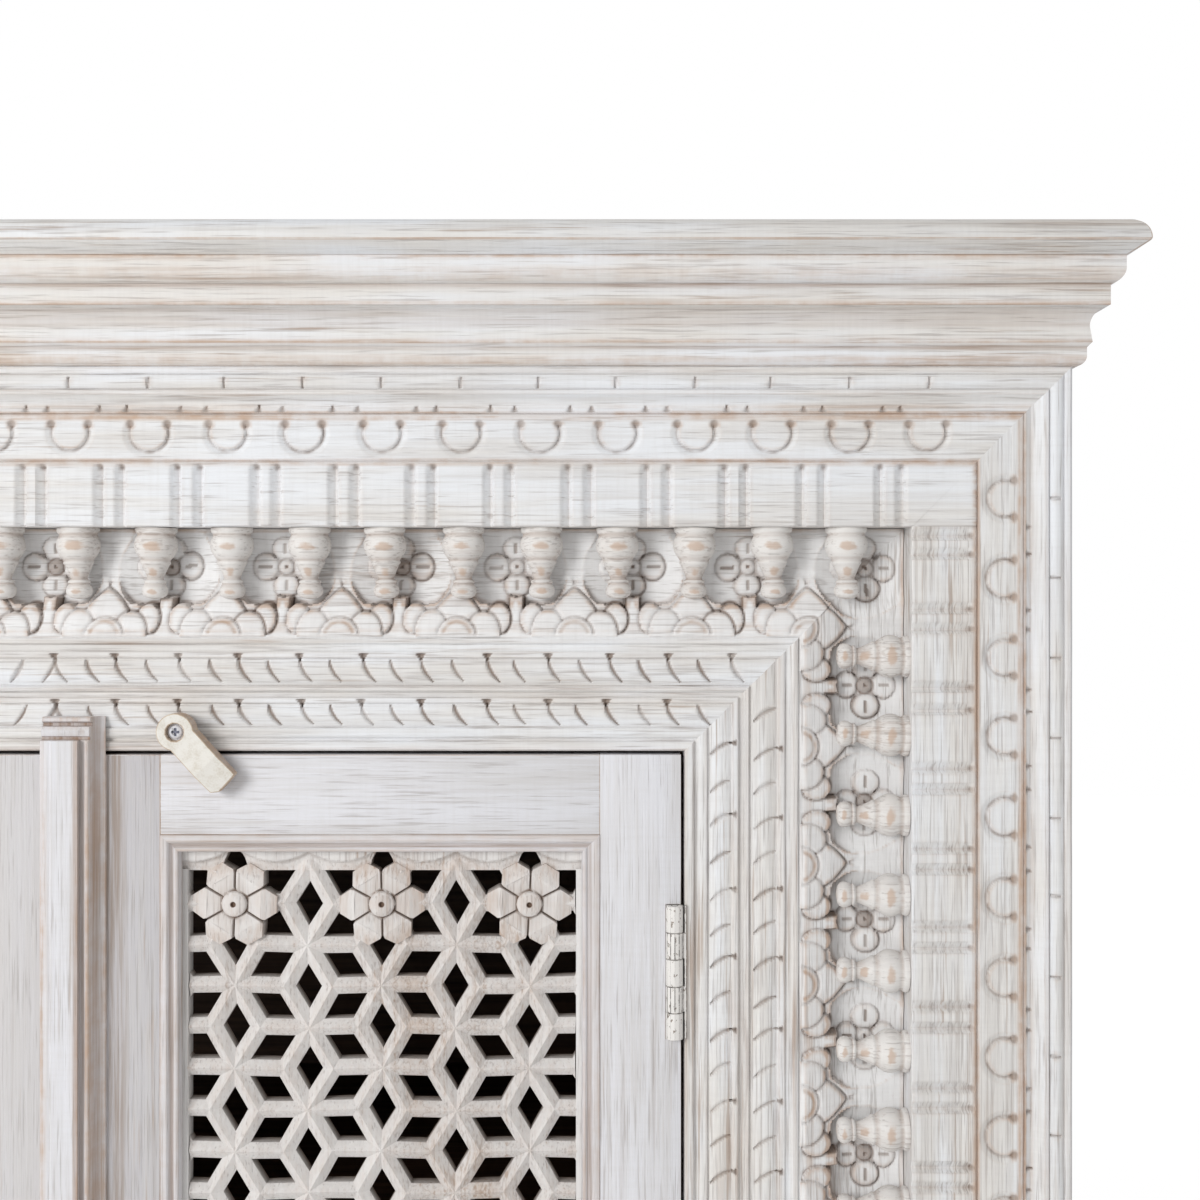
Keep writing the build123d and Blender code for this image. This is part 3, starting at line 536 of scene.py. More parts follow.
def strokeDistance(w, s, path):
    # distance to a chain of short straight runs, and how far along it lies
    best = np.full(w.shape, 1e9)
    along = np.zeros(w.shape)
    total = len(path) - 1
    for k in range(total):
        (s0, w0), (s1, w1) = path[k], path[k + 1]
        ds, dw = s1 - s0, w1 - w0
        t = np.clip(((s - s0) * ds + (w - w0) * dw) / (ds * ds + dw * dw), 0, 1)
        d = np.hypot(s - s0 - t * ds, w - w0 - t * dw)
        nearer = d < best
        best = np.where(nearer, d, best)
        along = np.where(nearer, (k + t) / total, along)
    return best, along


def near(sLine, centre, reach):
    # the columns of the grid that lie near one ornament
    return slice(int(np.searchsorted(sLine, centre - reach)), int(np.searchsorted(sLine, centre + reach)))


def atLeast(grid, part, values):
    # where two marks of stain and painted shade meet, the darker one shows
    grid[:, part] = np.maximum(grid[:, part], values)


cable = {
    "pitch": {"header": 18.4, "jamb": 21.3},  # from one stroke to the next; every other one has a notch
    "stroke": ((0.0, 0.0), (1.0, 0.32), (3.4, 0.66), (7.2, 1.0)),  # sideways, share of the way down
    "halfWidth": 1.1,
    "depth": 1.7,
    "notchWidth": {"header": 5.0, "jamb": 3.4},
    "notchHeight": {"header": 4.2, "jamb": 3.6},
    "notchDepth": 2.6,
    "dark": {"header": 0.85, "jamb": 0.55},
    "lines": ((16.0, 27.6, 30.6), (42.0, 54.8, 58.2)),  # a cable's two sides and the line of its notches
    "seeds": {"header": (11, 21), "jamb": (12, 22)},
}


def cutCable(W, S, sLine, H, stainAndShade, run, inner, outer, notchLine, seed):
    wander = random.Random(seed)
    pitch, dark = cable["pitch"][run], cable["dark"][run]
    notchWidth, notchHeight = cable["notchWidth"][run], cable["notchHeight"][run]
    mirror = ornament[run]["mirror"]  # the strokes lean away from here, both ways
    height = outer - inner
    first = math.floor((sLine[0] - mirror) / pitch)
    last = math.ceil((sLine[-1] - mirror) / pitch)
    for k in range(first, last + 1):
        middle = mirror + k * pitch + (wander.uniform(-1.6, 1.6) if k else 0)
        size = wander.uniform(0.8, 1.15)
        drawn = dark * wander.choice((0.45, 0.8, 0.9, 1.0, 1.0))
        if run == "header" and abs(middle) > halfDoorway + inner - 6:
            continue
        if run == "jamb" and not 9 - inner <= middle <= jambLength - 8:
            continue
        part = near(sLine, middle, 16)
        w, s = W[:, part], S[:, part]
        sides = (1, -1) if k == 0 else (1,) if k > 0 else (-1,)
        for side in sides:
            path = [(middle + side * away, outer - height * share) for away, share in cable["stroke"]]
            d, t = strokeDistance(w, s, path)
            wide = cable["halfWidth"] * size * (0.55 + 1.0 * np.sin(np.clip(t * 1.05, 0, 1) * math.pi) ** 0.7)
            H[:, part] -= gouge(d, wide) * cable["depth"] * size
            atLeast(stainAndShade, part, gouge(d, wide * 0.78) * drawn)
        if k % 2 == 0:
            drop, aside = notchLine - w, np.abs(s - middle)
            half = notchWidth / 2 * (1 - drop / notchHeight)
            inside = (drop > -0.9) & (drop < notchHeight) & (aside < half)
            slope = np.clip(1.1 - aside / np.maximum(half, 0.1), 0.25, 1)
            H[:, part] -= np.where(inside, cable["notchDepth"] * slope, 0)
            atLeast(stainAndShade, part, np.where(inside, 0.3 + 0.6 * drawn, 0))


def carveArchitrave(W, S, sLine, run):
    H = profileLine(architraveProfile)(W)
    stainAndShade = np.zeros(W.shape)
    rubbed = np.zeros(W.shape)
    for lines, seed in zip(cable["lines"], cable["seeds"][run]):
        cutCable(W, S, sLine, H, stainAndShade, run, *lines, seed)
    return H, stainAndShade, rubbed


niche = {
    # out from the doorway, height
    "slope": ((67.8, 3.6), (69.0, 3.9), (70.2, 3.0), (74, 1.8), (88, -3.6), (100, -9.0), (110, -13)),
    "bowlRadius": 31.0,
    "bowlDepth": 7.3,
    "bowlFloor": -19.6,
    "bed": -13.0,
    "flowerMiddle": 111.0,  # out from the doorway
    "petalReach": (12.3, 11.3),  # from the flower's middle to a petal's middle: sideways, up and down
    "petalLong": (7.6, 6.9),  # half a petal, outwards
    "petalWide": (8.3, 8.0),  # half a petal, sideways
    "petalRise": 2.0,
    "slitReach": ((8.8, 16.8), (8.0, 14.4)),
    "slitHalfWidth": 0.95,
    "hubRadius": 4.9,
    "darkHubs": 0.35,  # share of the flowers with a dirty hub
    "stalkHalfWidth": 4.3,
    "cut": 1.05,  # half width of an outline cut
    "cutDepth": 1.25,
    "rubbed": (74.5, 4.5),  # the middle of the rubbed strip between the leaves, and its half width
    "seed": {"header": 61, "jamb": 62},
}
# one leaf cluster, front scale first: offset along, middle outwards, half width, half height, lift
leafScales = {
    "half disc": (0.0, 69.8, 11.2, 10.8, 1.5),
    "left disc": (-15.6, 71.0, 9.8, 14.6, 1.1),
    "right disc": (15.6, 70.5, 10.2, 13.6, 1.1),
    "pointed dome": (0.0, 74.5, 15.0, 24.0, 0.6),
    "left lobe": (-24.9, 79.8, 7.0, 9.2, 0.3),
    "right lobe": (24.9, 79.8, 7.0, 9.2, 0.3),
}


def outlineCut(offset, inner, outer):
    # a cut that is steep towards the raised side and fades out on the other
    inside = np.clip(1 + offset / inner, 0, 1) * (offset <= 0)
    outside = np.clip(1 - offset / outer, 0, 1) * (offset > 0)
    return inside + outside


def scaleOutline(label, along, w):
    # how far a place lies outside one scale's outline, in millimetres
    _, centre, wide, tall, _ = leafScales[label]
    if label != "pointed dome":
        return (np.hypot(along / wide, (w - centre) / tall) - 1) * min(wide, tall)
    up = np.clip((w - centre) / tall, 0, 1.3)
    sloped = (np.abs(along) - wide * (1 - up ** 2.2)) / np.hypot(1, wide / tall * 2.2 * up ** 1.2)
    return np.maximum(sloped, centre - w)


def carveNiche(W, S, sLine, run):
    leafSlope = profileLine(niche["slope"])(W)
    H = np.maximum(niche["bed"], leafSlope - 1.2)
    stainAndShade = np.zeros(W.shape)
    wander = random.Random(niche["seed"][run])
    for middle in ornament[run]["flowers"]:
        part = near(sLine, middle, 40)
        w, s = W[:, part] - niche["flowerMiddle"], S[:, part] - middle
        r = np.hypot(w, s)
        radius = niche["bowlRadius"]
        bowl = niche["bowlFloor"] + niche["bowlDepth"] * np.clip(r / radius, 0, 1) ** 1.8
        inside = (r < radius) & (w > -26 + np.abs(s) * 0.2)
        floor = np.where(inside, np.minimum(H[:, part], bowl), H[:, part])
        floor += 0.5 * outlineCut(radius - r, 1.0, 2.6) * (w > -14)
        lift = np.zeros(w.shape)
        groove = np.zeros(w.shape)
        tones = [wander.uniform(0.35, 0.8) for _ in range(5)]
        for quarter in (0, 2, 1, 3):
            turn = quarter * math.pi / 2 + wander.uniform(-0.06, 0.06)
            ahead = s * math.cos(turn) + w * math.sin(turn)
            aside = -s * math.sin(turn) + w * math.cos(turn)
            reach, long, wide = (niche[key][quarter % 2] for key in ("petalReach", "petalLong", "petalWide"))
            d = np.hypot((ahead - reach) / long, aside / wide)
            petal = (d < 1) & (np.abs(aside) < ahead * 1.04)
            dome = niche["petalRise"] + 1.0 * (1 - d * d) - 0.1 * (ahead - reach)
            lift = np.where(petal, dome, lift)
            groove = np.where(petal, 0, groove)
            side = 0.6 + 0.5 * np.clip((s * 0.9 - w * 0.5) / 14, -0.6, 0.9)  # painted shade: the outlines darken towards the lower right, away from the light
            groove = np.maximum(groove, gouge((d - 1) * long, niche["cut"]) * tones[quarter] * side)
            low, high = niche["slitReach"][quarter % 2]
            slit = (ahead > low) & (ahead < high) & (np.abs(aside) < niche["slitHalfWidth"])
            groove = np.maximum(groove, slit * (0.35 + 0.6 * tones[quarter]))
        # short cuts between the petals
        lift = np.where((r < niche["hubRadius"] + 3.6) & (lift == 0), niche["petalRise"] - 0.2, lift)
        slantwise = np.abs(np.abs(s) - np.abs(w)) * 0.707
        between = gouge(slantwise, 1.1) * (r > niche["hubRadius"] + 0.6) * (r < niche["hubRadius"] + 4.4)
        groove = np.maximum(groove, between * tones[3] * 1.2)
        hub = r < niche["hubRadius"]
        ring = gouge(r - niche["hubRadius"], niche["cut"] * 1.1)
        lift = np.where(hub, niche["petalRise"] + 1.6 - 0.05 * r * r, lift)
        dirty = wander.random() < niche["darkHubs"]
        groove = np.where(hub, 0, groove)
        groove = np.maximum(groove, np.maximum(ring * (0.9 if dirty else 0.6), (r < 1.0) * 1.0))
        dirt = np.where(hub, 0.55 if dirty else 0.05, 0)
        # the stalk that carries the flower
        half = niche["stalkHalfWidth"]
        stalk = (np.abs(s) < half) & (w < -17) & (w > -40)
        lift = np.where(stalk & (lift == 0), np.maximum(H[:, part], -14.0) - floor + 0.4, lift)
        groove = np.maximum(groove, gouge(np.abs(s) - half, niche["cut"]) * ((w < -18.5) & (w > -27)))
        H[:, part] = floor + lift - niche["cutDepth"] * groove
        atLeast(stainAndShade, part, np.maximum(np.clip(groove, 0, 1) * 0.85, dirt))
    rubbedLine, rubbedHalf = niche["rubbed"]
    rubbed = 0.55 * np.clip(1 - np.abs(W - rubbedLine) / rubbedHalf, 0, 1)
    for middle in ornament[run]["leaves"]:
        part = near(sLine, middle, 36)
        w, s = W[:, part], S[:, part] - middle
        # the ridge between two bowls spreads upwards into a spandrel
        halfRidge = np.clip((w - 99) * 0.36 + np.clip((w - 118) * 0.25, 0, 9), 0, 13)
        spandrel = (np.abs(s) < halfRidge) & (w > 99)
        top = niche["bed"] + 0.6 + np.abs(s) * 0.16 - (w - 99) * 0.08
        H[:, part] = np.where(spandrel, np.maximum(H[:, part] - 3, top), H[:, part])
        foot = np.clip((w - 69.6) / 1.8, 0, 1)
        away = s if run == "header" else (w - 80) * 0.8 + s * 0.4
        side = np.clip(0.55 + away / 34, 0.3, 1.15)  # painted shade: the outlines darken on the side away from the light
        for label, (offset, _, wide, tall, lift) in reversed(leafScales.items()):
            out = scaleOutline(label, s - offset * wander.uniform(0.97, 1.03), w)
            share = np.clip(-out / min(wide, tall), 0, 1)
            covers = (out < 0) & (w > 69.4)
            swell = (1.2 * np.sqrt(share) + lift) * np.clip((w - 69.4) / 3, 0, 1)
            H[:, part] = np.where(covers, leafSlope[:, part] + swell, H[:, part])
            H[:, part] -= niche["cutDepth"] * outlineCut(out, 0.6, 1.8) * foot
            tone = wander.uniform(0.6, 1.0)
            stainAndShade[:, part] = np.where(covers, 0.0, stainAndShade[:, part])
            atLeast(stainAndShade, part, 0.8 * tone * (gouge(out - 0.45, 1.05) * foot * side))
            rubbed[:, part] = np.where(covers, 0.08, rubbed[:, part])
            if label == "half disc":
                inner = gouge(out + 2.8, 1.5) * (w > 71)
                H[:, part] -= 0.5 * inner
                atLeast(rubbed, part, inner)
                atLeast(stainAndShade, part, 0.2 * tone * inner)
    H = np.where(W > surround["nicheEdge"] - 0.5, -20.0, H)
    return H, stainAndShade, rubbed


flute = {
    "apart": 12.6,
    "soft": 5.0,  # from the deepest line to the gentle side, and to the steep one
    "steep": 2.4,
    "deepest": 1.3,
    "depth": 4.0,
    "to": 171.6,
    "clearOf": -80.0,  # the jamb's flutes above this place draw down a little, clear of the joint
    "draw": 0.07,
    "rubbedFrom": 170.8,
    "seed": {"header": 31, "jamb": 32},
}


def carveFluted(W, S, sLine, run):
    H = profileLine(flutedProfile)(W)
    stainAndShade = np.zeros(W.shape)
    wander = random.Random(flute["seed"][run])
    for middle in ornament[run]["flutes"]:
        for side in (-1, 1):
            at = middle + side * (flute["apart"] / 2 + wander.uniform(-0.5, 0.5))
            if run == "jamb" and at < -surround["nicheEdge"] - 8:
                continue
            if run == "jamb":
                at += max(0.0, flute["clearOf"] - at) * flute["draw"]
            if run == "header" and abs(at) > halfDoorway + surround["nicheEdge"] - 4:
                continue
            part = near(sLine, at, 7)
            w, s = W[:, part], S[:, part]
            end = np.clip((flute["to"] - w) / 3.0, 0, 1)
            beyond = s - at - flute["deepest"]
            sides = np.where(beyond < 0, 1 + beyond / flute["soft"], 1 - beyond / flute["steep"])
            cut = np.clip(sides, 0, 1) ** 0.85 * np.sqrt(end)
            H[:, part] -= flute["depth"] * cut
            nick = np.clip(1 - np.hypot((s - at - 0.6) / 2.4, (w - flute["to"] + 1.6) / 2.6), 0, 1)
            H[:, part] -= 1.2 * nick
            atLeast(stainAndShade, part, np.clip(nick * 1.6, 0, 1) * 0.6 * wander.uniform(0.6, 1))
    if run == "jamb":  # the header runs over the jamb
        joint = gouge(S + surround["nicheEdge"], 1.1) * (W > surround["nicheEdge"] + 3)
        H -= 0.4 * joint
        stainAndShade = np.maximum(stainAndShade, 0.35 * joint)
    rubbed = 0.9 * np.clip(W - flute["rubbedFrom"], 0, 1)
    return H, stainAndShade, rubbed


scroll = {
    "radius": 11.2,
    "middle": 190.6,
    "tipRise": 5.0,
    "tipSpread": 11.0,
    "dot": 2.8,
    "halo": 4.4,  # how far the wood shows round a dot
    "depth": 1.9,
    "bevel": 4.0,
    "rubbedTo": 175.4,  # the rubbed strips along the band's two edges
    "rubbedFrom": 196.8,
    "seed": {"header": 41, "jamb": 42},
}


def carveScroll(W, S, sLine, run):
    H = profileLine(scrollProfile)(W)
    stainAndShade = np.zeros(W.shape)
    halo = np.zeros(W.shape)
    wander = random.Random(scroll["seed"][run])
    for middle in ornament[run]["arcs"]:
        if run == "jamb" and middle < -surround["flutedEdge"] + 12:
            continue
        at = middle + wander.uniform(-0.8, 0.8)
        radius = scroll["radius"] * wander.uniform(0.95, 1.06)
        part = near(sLine, at, 18)
        w, s = W[:, part] - scroll["middle"], S[:, part] - at
        r = np.hypot(w, s)
        # steep inside, with a long bevel outside; the arms draw in a little at their tips
        away = np.where(w < 0, r - radius, np.abs(s) - (radius - w * 0.2))
        ends = np.clip((scroll["tipRise"] - w) / 1.6, 0, 1)
        H[:, part] -= scroll["depth"] * outlineCut(away, 0.9, scroll["bevel"]) * ends
        line = gouge(away - 0.3, 1.25) * ends * (0.7 + 0.3 * np.sin(s * 0.7 + middle))
        tip = np.hypot(np.abs(s) - scroll["tipSpread"], w - scroll["tipRise"])
        dotCut = gouge(tip, scroll["dot"])
        H[:, part] -= 1.3 * dotCut
        dab = np.clip(dotCut * 1.7, 0, 1) * 0.55
        shade = np.maximum(line * 0.6 * wander.uniform(0.6, 1.0), dab * wander.uniform(0.7, 1.0))
        atLeast(stainAndShade, part, np.clip(shade, 0, 1))
        atLeast(halo, part, 0.7 * gouge(tip, scroll["halo"]))
    # rubbed bare along both edges and round the dabs
    rubbed = 0.8 * np.clip((scroll["rubbedTo"] - W) / 1.2, 0, 1)
    rubbed = rubbed + 0.9 * np.clip((W - scroll["rubbedFrom"]) / 1.6, 0, 1)
    return H, stainAndShade, np.maximum(rubbed, halo)


edgeCuts = {
    "tick": (216.4, 222.8),  # from and to, out from the doorway
    "tickDepth": 1.7,
    "nickFoot": 202.4,
    "nickPoint": 207.0,
    "nickDepth": 1.8,
    "rubbed": ((203.4, 0.9), (206.0, 0.4)),  # up to here, and round here: how much
    "seed": {"header": 51, "jamb": 52},
}


def carveEdge(W, S, sLine, run):
    H = profileLine(edgeProfile)(W)
    stainAndShade = np.zeros(W.shape)
    wander = random.Random(edgeCuts["seed"][run])
    for middle in ornament[run]["arcs"]:
        at = middle - 0.6 + wander.uniform(-0.8, 0.8)
        part = near(sLine, at, 3)
        w, s = W[:, part], S[:, part]
        low, high = edgeCuts["tick"]
        tick = gouge(s - at - (w - 220) * 0.08, 1.0) * ((w > low) & (w < high))
        H[:, part] -= edgeCuts["tickDepth"] * tick
        atLeast(stainAndShade, part, 0.4 * tick * wander.uniform(0.6, 1.0))
    for middle in ornament[run]["flutes"]:
        for side in (-1, 1):
            at = middle + side * (flute["apart"] / 2 + 0.6) + wander.uniform(0.0, 3.6)
            part = near(sLine, at, 6)
            w, s = W[:, part], S[:, part]
            # a three-cornered nick: broad at its foot, with its point outwards
            pointed = np.clip((edgeCuts["nickPoint"] - w) / 4.4, 0, 1) * (w > edgeCuts["nickFoot"])
            nick = np.clip(1 - np.abs(s - at) / np.maximum(2.9 * pointed, 0.05), 0, 1) ** 0.6 * (pointed > 0)
            H[:, part] -= edgeCuts["nickDepth"] * nick
            atLeast(stainAndShade, part, nick * 0.7 * wander.uniform(0.6, 1))
    (foot, footShare), (line, lineShare) = edgeCuts["rubbed"]
    footRub = footShare * np.clip(foot - W, 0, 1)
    lineRub = lineShare * np.clip(1 - np.abs(W - line) / 2.4, 0, 1)
    return H, stainAndShade, np.maximum(footRub, lineRub)


# how far proud edges are rubbed and hollows dirty, where it isn't as usual
edgeWear = {carveArchitrave: (0.35, 0.3), carveFluted: (0.2, 0.3)}


def carvedBand(name, run, side, profile, carve, material, replaced):
    # a board with a carved face, its mitre, its flat sides and its back
    spacing = surround["across"] * (2.4 if carve is carveFluted else 1)
    wLine = sharpened(profile, spacing)
    reach = halfDoorway + wLine[-1]
    if run == "header":
        sLine = np.arange(-reach, reach + surround["along"], surround["along"])
    else:
        sLine = np.arange(-wLine[-1], jambLength, surround["along"])
        sLine = np.append(sLine, jambLength)
    W, S = np.meshgrid(wLine, sLine, indexing="ij")
    if run == "header":
        S = np.clip(S, -(halfDoorway + W), halfDoorway + W)
    else:
        S = np.maximum(S, -W)
    H, stainAndShade, rubbed = carve(W, S, sLine, run)
    waver = 0.16 * np.sin(S * 0.031 + W * 0.07) + 0.09 * np.sin(S * 0.083 + W * 0.19 + 1.7)
    H = H + waver * np.clip((H - surround["nicheBack"]) / 6, 0, 1) - 0.2
    hollow = blurred(H, 2) - H
    proud, dirty = edgeWear.get(carve, (1.0, 0.5))
    marks = {
        "grime": np.clip(hollow / 1.6 - 0.15, 0, 1) * dirty,
        "worn": np.clip(proud * np.clip(-hollow / 1.0 - 0.15, 0, 0.8) + rubbed, 0, 1),
        "stainAndShade": np.clip(stainAndShade, 0, 1),
    }
    if run == "header":
        front = np.stack([S, doorFace - H, doorwayTop + W], -1).reshape(-1, 3)
    else:
        front = np.stack([side * (halfDoorway + W), doorFace - H, doorwayTop - S], -1).reshape(-1, 3)
    keep = (np.abs(S[:-1, :-1] - S[:-1, 1:]) > 1e-6) | (np.abs(S[1:, :-1] - S[1:, 1:]) > 1e-6)
    index = np.arange(W.size).reshape(W.shape)
    faces = gridFaces(index)[keep].tolist()
    back = front[[index[0, 0], index[0, -1], index[-1, -1], index[-1, 0]]]
    back[:, 1] = surroundBack
    count = W.size
    for k, edge in enumerate((index[0, :], index[:, -1], index[-1, ::-1], index[::-1, 0])):
        faces.append(edge.tolist() + [count + (k + 1) % 4, count + k])
    faces.append([count + k for k in range(4)])
    marks = {label: np.append(values, [0] * 4) for label, values in marks.items()}  # the back is clean
    mesh = stocked(name, np.concatenate([front, back]), faces, marks)
    work = workOn(mesh)
    bmesh.ops.remove_doubles(work, verts=work.verts, dist=1e-7)
    bmesh.ops.dissolve_degenerate(work, edges=work.edges, dist=1e-8)
    poured(work, mesh)
    softShade(mesh, 42)
    coated(mesh, material)
    if run == "jamb" and carve is carveFluted:
        coated(mesh, carvedAcross)
        for polygon in mesh.polygons:
            if polygon.center.z > (doorwayTop + surround["nicheEdge"]) * mm:
                polygon.material_index = 1  # the corner belongs to the header
    seat(fresh(name, mesh), "cabinet", "carved_wood", replaced)


nicheProfile = [(67.8, 0), (134.0, 0), (134.5, 0)]  # only its width; its heights are all carved
bands = (
    ("architrave", architraveProfile, carveArchitrave, carvedAcross, carvedUpright),
    ("niche_panel", nicheProfile, carveNiche, nicheAcross, nicheUpright),
    ("fluted_band", flutedProfile, carveFluted, carvedAcross, carvedUpright),
    ("scroll_band", scrollProfile, carveScroll, carvedAcross, carvedUpright),
    ("edge_moulding", edgeProfile, carveEdge, carvedAcross, carvedUpright),
)
for bandName, profile, carve, across, upright in bands:
    carvedBand("carved_header_" + bandName, "header", 1, profile, carve, across, "header_" + bandName)
    carvedBand("carved_right_" + bandName, "jamb", 1, profile, carve, upright, "right_" + bandName)
    carvedBand("carved_left_" + bandName, "jamb", -1, profile, carve, upright, "left_" + bandName)
    print("carved", bandName)

# what repeats is set out by one node tree


def settingOutTree():
    tree = bpy.data.node_groups.new("set out copies", "GeometryNodeTree")
    sockets = {
        "Places": "Geometry", "Pattern": "Object", "Finish": "Material",
        "Turn": "Vector", "Looseness": "Float", "Seed": "Int",
    }
    for label, kind in sockets.items():
        tree.interface.new_socket(label, in_out="INPUT", socket_type="NodeSocket" + kind)
    tree.interface.new_socket("Copies", in_out="OUTPUT", socket_type="NodeSocketGeometry")
    given = place(tree, "NodeGroupInput").outputs
    pattern = place(tree, "GeometryNodeObjectInfo", {"Object": given["Pattern"]}, transform_space="ORIGINAL")
    spread = place(
        tree,
        "GeometryNodeInstanceOnPoints",
        {"Points": given["Places"], "Instance": pattern.outputs["Geometry"], "Rotation": given["Turn"]},
    )
    most = given["Looseness"]
    least = maths(tree, "MULTIPLY", most, -1.0)
    shake = place(
        tree,
        "FunctionNodeRandomValue",
        {"Min": least, "Max": most, "Seed": given["Seed"]},
        data_type="FLOAT_VECTOR",
    )
    turning = {"Instances": spread.outputs[0], "Rotation": shake.outputs[0]}
    turned = place(tree, "GeometryNodeRotateInstances", turning)
    real = place(tree, "GeometryNodeRealizeInstances", {"Geometry": turned.outputs[0]})
    coat = {"Geometry": real.outputs[0], "Material": given["Finish"]}
    finished = place(tree, "GeometryNodeSetMaterial", coat)
    place(tree, "NodeGroupOutput", {"Copies": finished.outputs[0]})
    return tree


settingOut = settingOutTree()


def setOut(name, places, pattern, finish, turn=(0, 0, 0), looseness=0.0, seed=1):
    guide = fresh(name + "_places", stocked(name, places, []))
    modifier = guide.modifiers.new("set out", "NODES")
    modifier.node_group = settingOut
    chosen = {"Pattern": pattern, "Finish": finish, "Turn": turn, "Looseness": looseness, "Seed": seed}
    for item in settingOut.interface.items_tree:
        if item.in_out == "INPUT" and item.name in chosen:
            modifier[item.identifier] = chosen[item.name]
    made = evaluated(guide)
    made.name = name
    bpy.data.objects.remove(guide)
    return fresh(name, made)


# turned drops
dropShape = {
    "rings": (  # distance down, radius
        (0, 12.3), (1.6, 12.6), (3.0, 12.1), (4.2, 11.1), (5.0, 11.2), (7.0, 12.2), (9.5, 12.9),
        (12, 12.9), (14.5, 12.2), (17.0, 10.8), (19.4, 9.0), (20.2, 8.7), (20.9, 9.0), (21.8, 8.9),
        (22.4, 8.2), (25.5, 6.8), (28.5, 5.5), (30.4, 4.8), (31.2, 5.0), (32.0, 6.4), (32.9, 6.7),
        (33.8, 6.1), (34.6, 6.6), (36.5, 7.6), (38.8, 7.8), (40.8, 7.0), (42.2, 5.0), (43.0, 1.0),
    ),
    "sides": 24,
    "rubbed": ((11.5, 3.6), (27.0, 3.2), (38.5, 2.6)),  # bare patches in front: distance down, reach
    "loose": 0.035,  # how far a drop may hang askew
}


def turnedPattern(name, rings, sides):
    points, marks = [], {"grime": [], "worn": [], "bald": []}
    radii = [radius for _, radius in rings]
    for row, (distance, radius) in enumerate(rings):
        bulge = radius - (radii[max(row - 1, 0)] + radii[min(row + 1, len(rings) - 1)]) / 2
        rubbedHere = sum(max(0.0, 1 - abs(distance - spot) / reach) for spot, reach in dropShape["rubbed"])
        for x, y in around(sides):
            facing = max(0.0, -y)  # towards the front
            points.append((radius * x, radius * y, -distance))
            marks["grime"].append(min(max(-bulge / 1.2, 0), 0.45))
            marks["worn"].append(0.12 + 0.2 * rubbedHere * facing ** 4)
            marks["bald"].append(min(rubbedHere * 1.4, 1) * facing ** 8)
    ends = [list(range(sides)), list(range(len(points) - sides, len(points)))]
    mesh = stocked(name, points, ringFaces(0, len(rings), sides) + ends, marks)
    rightWayOut(mesh)
    softShade(mesh, 50)
    return fresh(name, mesh)


dropPattern = turnedPattern("drop pattern", dropShape["rings"], dropShape["sides"])
dropY = doorFace - drops["relief"]
nicheTop = doorwayTop + surround["nicheEdge"]
nudge = random.Random(3)
headerPlaces = [(x + nudge.uniform(-2.4, 0.0), dropY, nicheTop) for x in headerDrops]
rows = [("turned_header_drops", "header_drops", headerPlaces, (0, 0, 0))]
for side, label in bothSides:
    x = side * (halfDoorway + surround["nicheEdge"])
    places = [(x, dropY, doorwayTop - s + nudge.uniform(-0.9, 0.9)) for s in jambDrops]
    rows.append((f"turned_{label}_drops", f"{label}_drops", places, (0, side * math.pi / 2, 0)))
for name, node, places, turn in rows:
    piece = setOut(name, places, dropPattern, turnedPaint, turn, dropShape["loose"], 7)
    softShade(piece.data, 50)
    seat(piece, "cabinet", "carved_wood", node)
bpy.data.objects.remove(dropPattern)
print("drops hung:", sum(len(r[2]) for r in rows))

# plain boards: the frame's own shapes with softened edges


def softened(name, node, finish, edgeFinish, width=0.9):
    mesh = nodes[node].data.copy()
    mesh.name = name
    poured(joined(mesh, 1.0), mesh)
    mesh.materials.clear()
    coated(mesh, finish, edgeFinish)
    piece = fresh(name, mesh)
    bevel = piece.modifiers.new("eased edges", "BEVEL")
    bevel.width = width * mm
    bevel.segments = 2
    bevel.limit_method = "ANGLE"
    bevel.angle_limit = math.radians(28)
    bevel.material = 1
    bevel.use_clamp_overlap = True
    made = evaluated(piece)
    piece.modifiers.clear()
    piece.data = made
    softShade(made, 30)
    return piece


moulding = {
    "spacing": 1.0,  # mesh pitch round a run's outline
    "stretch": 14.0,  # and along the run
    "reach": 2.4,  # how much wood beside a point says whether it is proud or hollow
    "rub": 1.3,
    "dirt": 1.2,
    "sag": 0.14,
}


def outlineOf(face, axis):
    # the ends of a run are its only faces that look along it
    flat = [i for i in range(3) if i != axis]
    return [(v.co[flat[0]] / mm, v.co[flat[1]] / mm, v.co[axis] / mm) for v in face.verts]


def runEnds(work, axis):
    # the two end faces of each loose solid
    left = set(work.faces)
    while left:
        group, queue = [], [left.pop()]
        while queue:
            face = queue.pop()
            group.append(face)
            for edge in face.edges:
                for other in edge.link_faces:
                    if other in left:
                        left.remove(other)
                        queue.append(other)
        ends = [f for f in group if abs(f.normal[axis]) > 0.3]
        ends.sort(key=lambda f: -f.calc_area())
        first = ends[0]
        second = next(f for f in ends[1:] if f.normal[axis] * first.normal[axis] < 0)
        yield outlineOf(first, axis), outlineOf(second, axis)


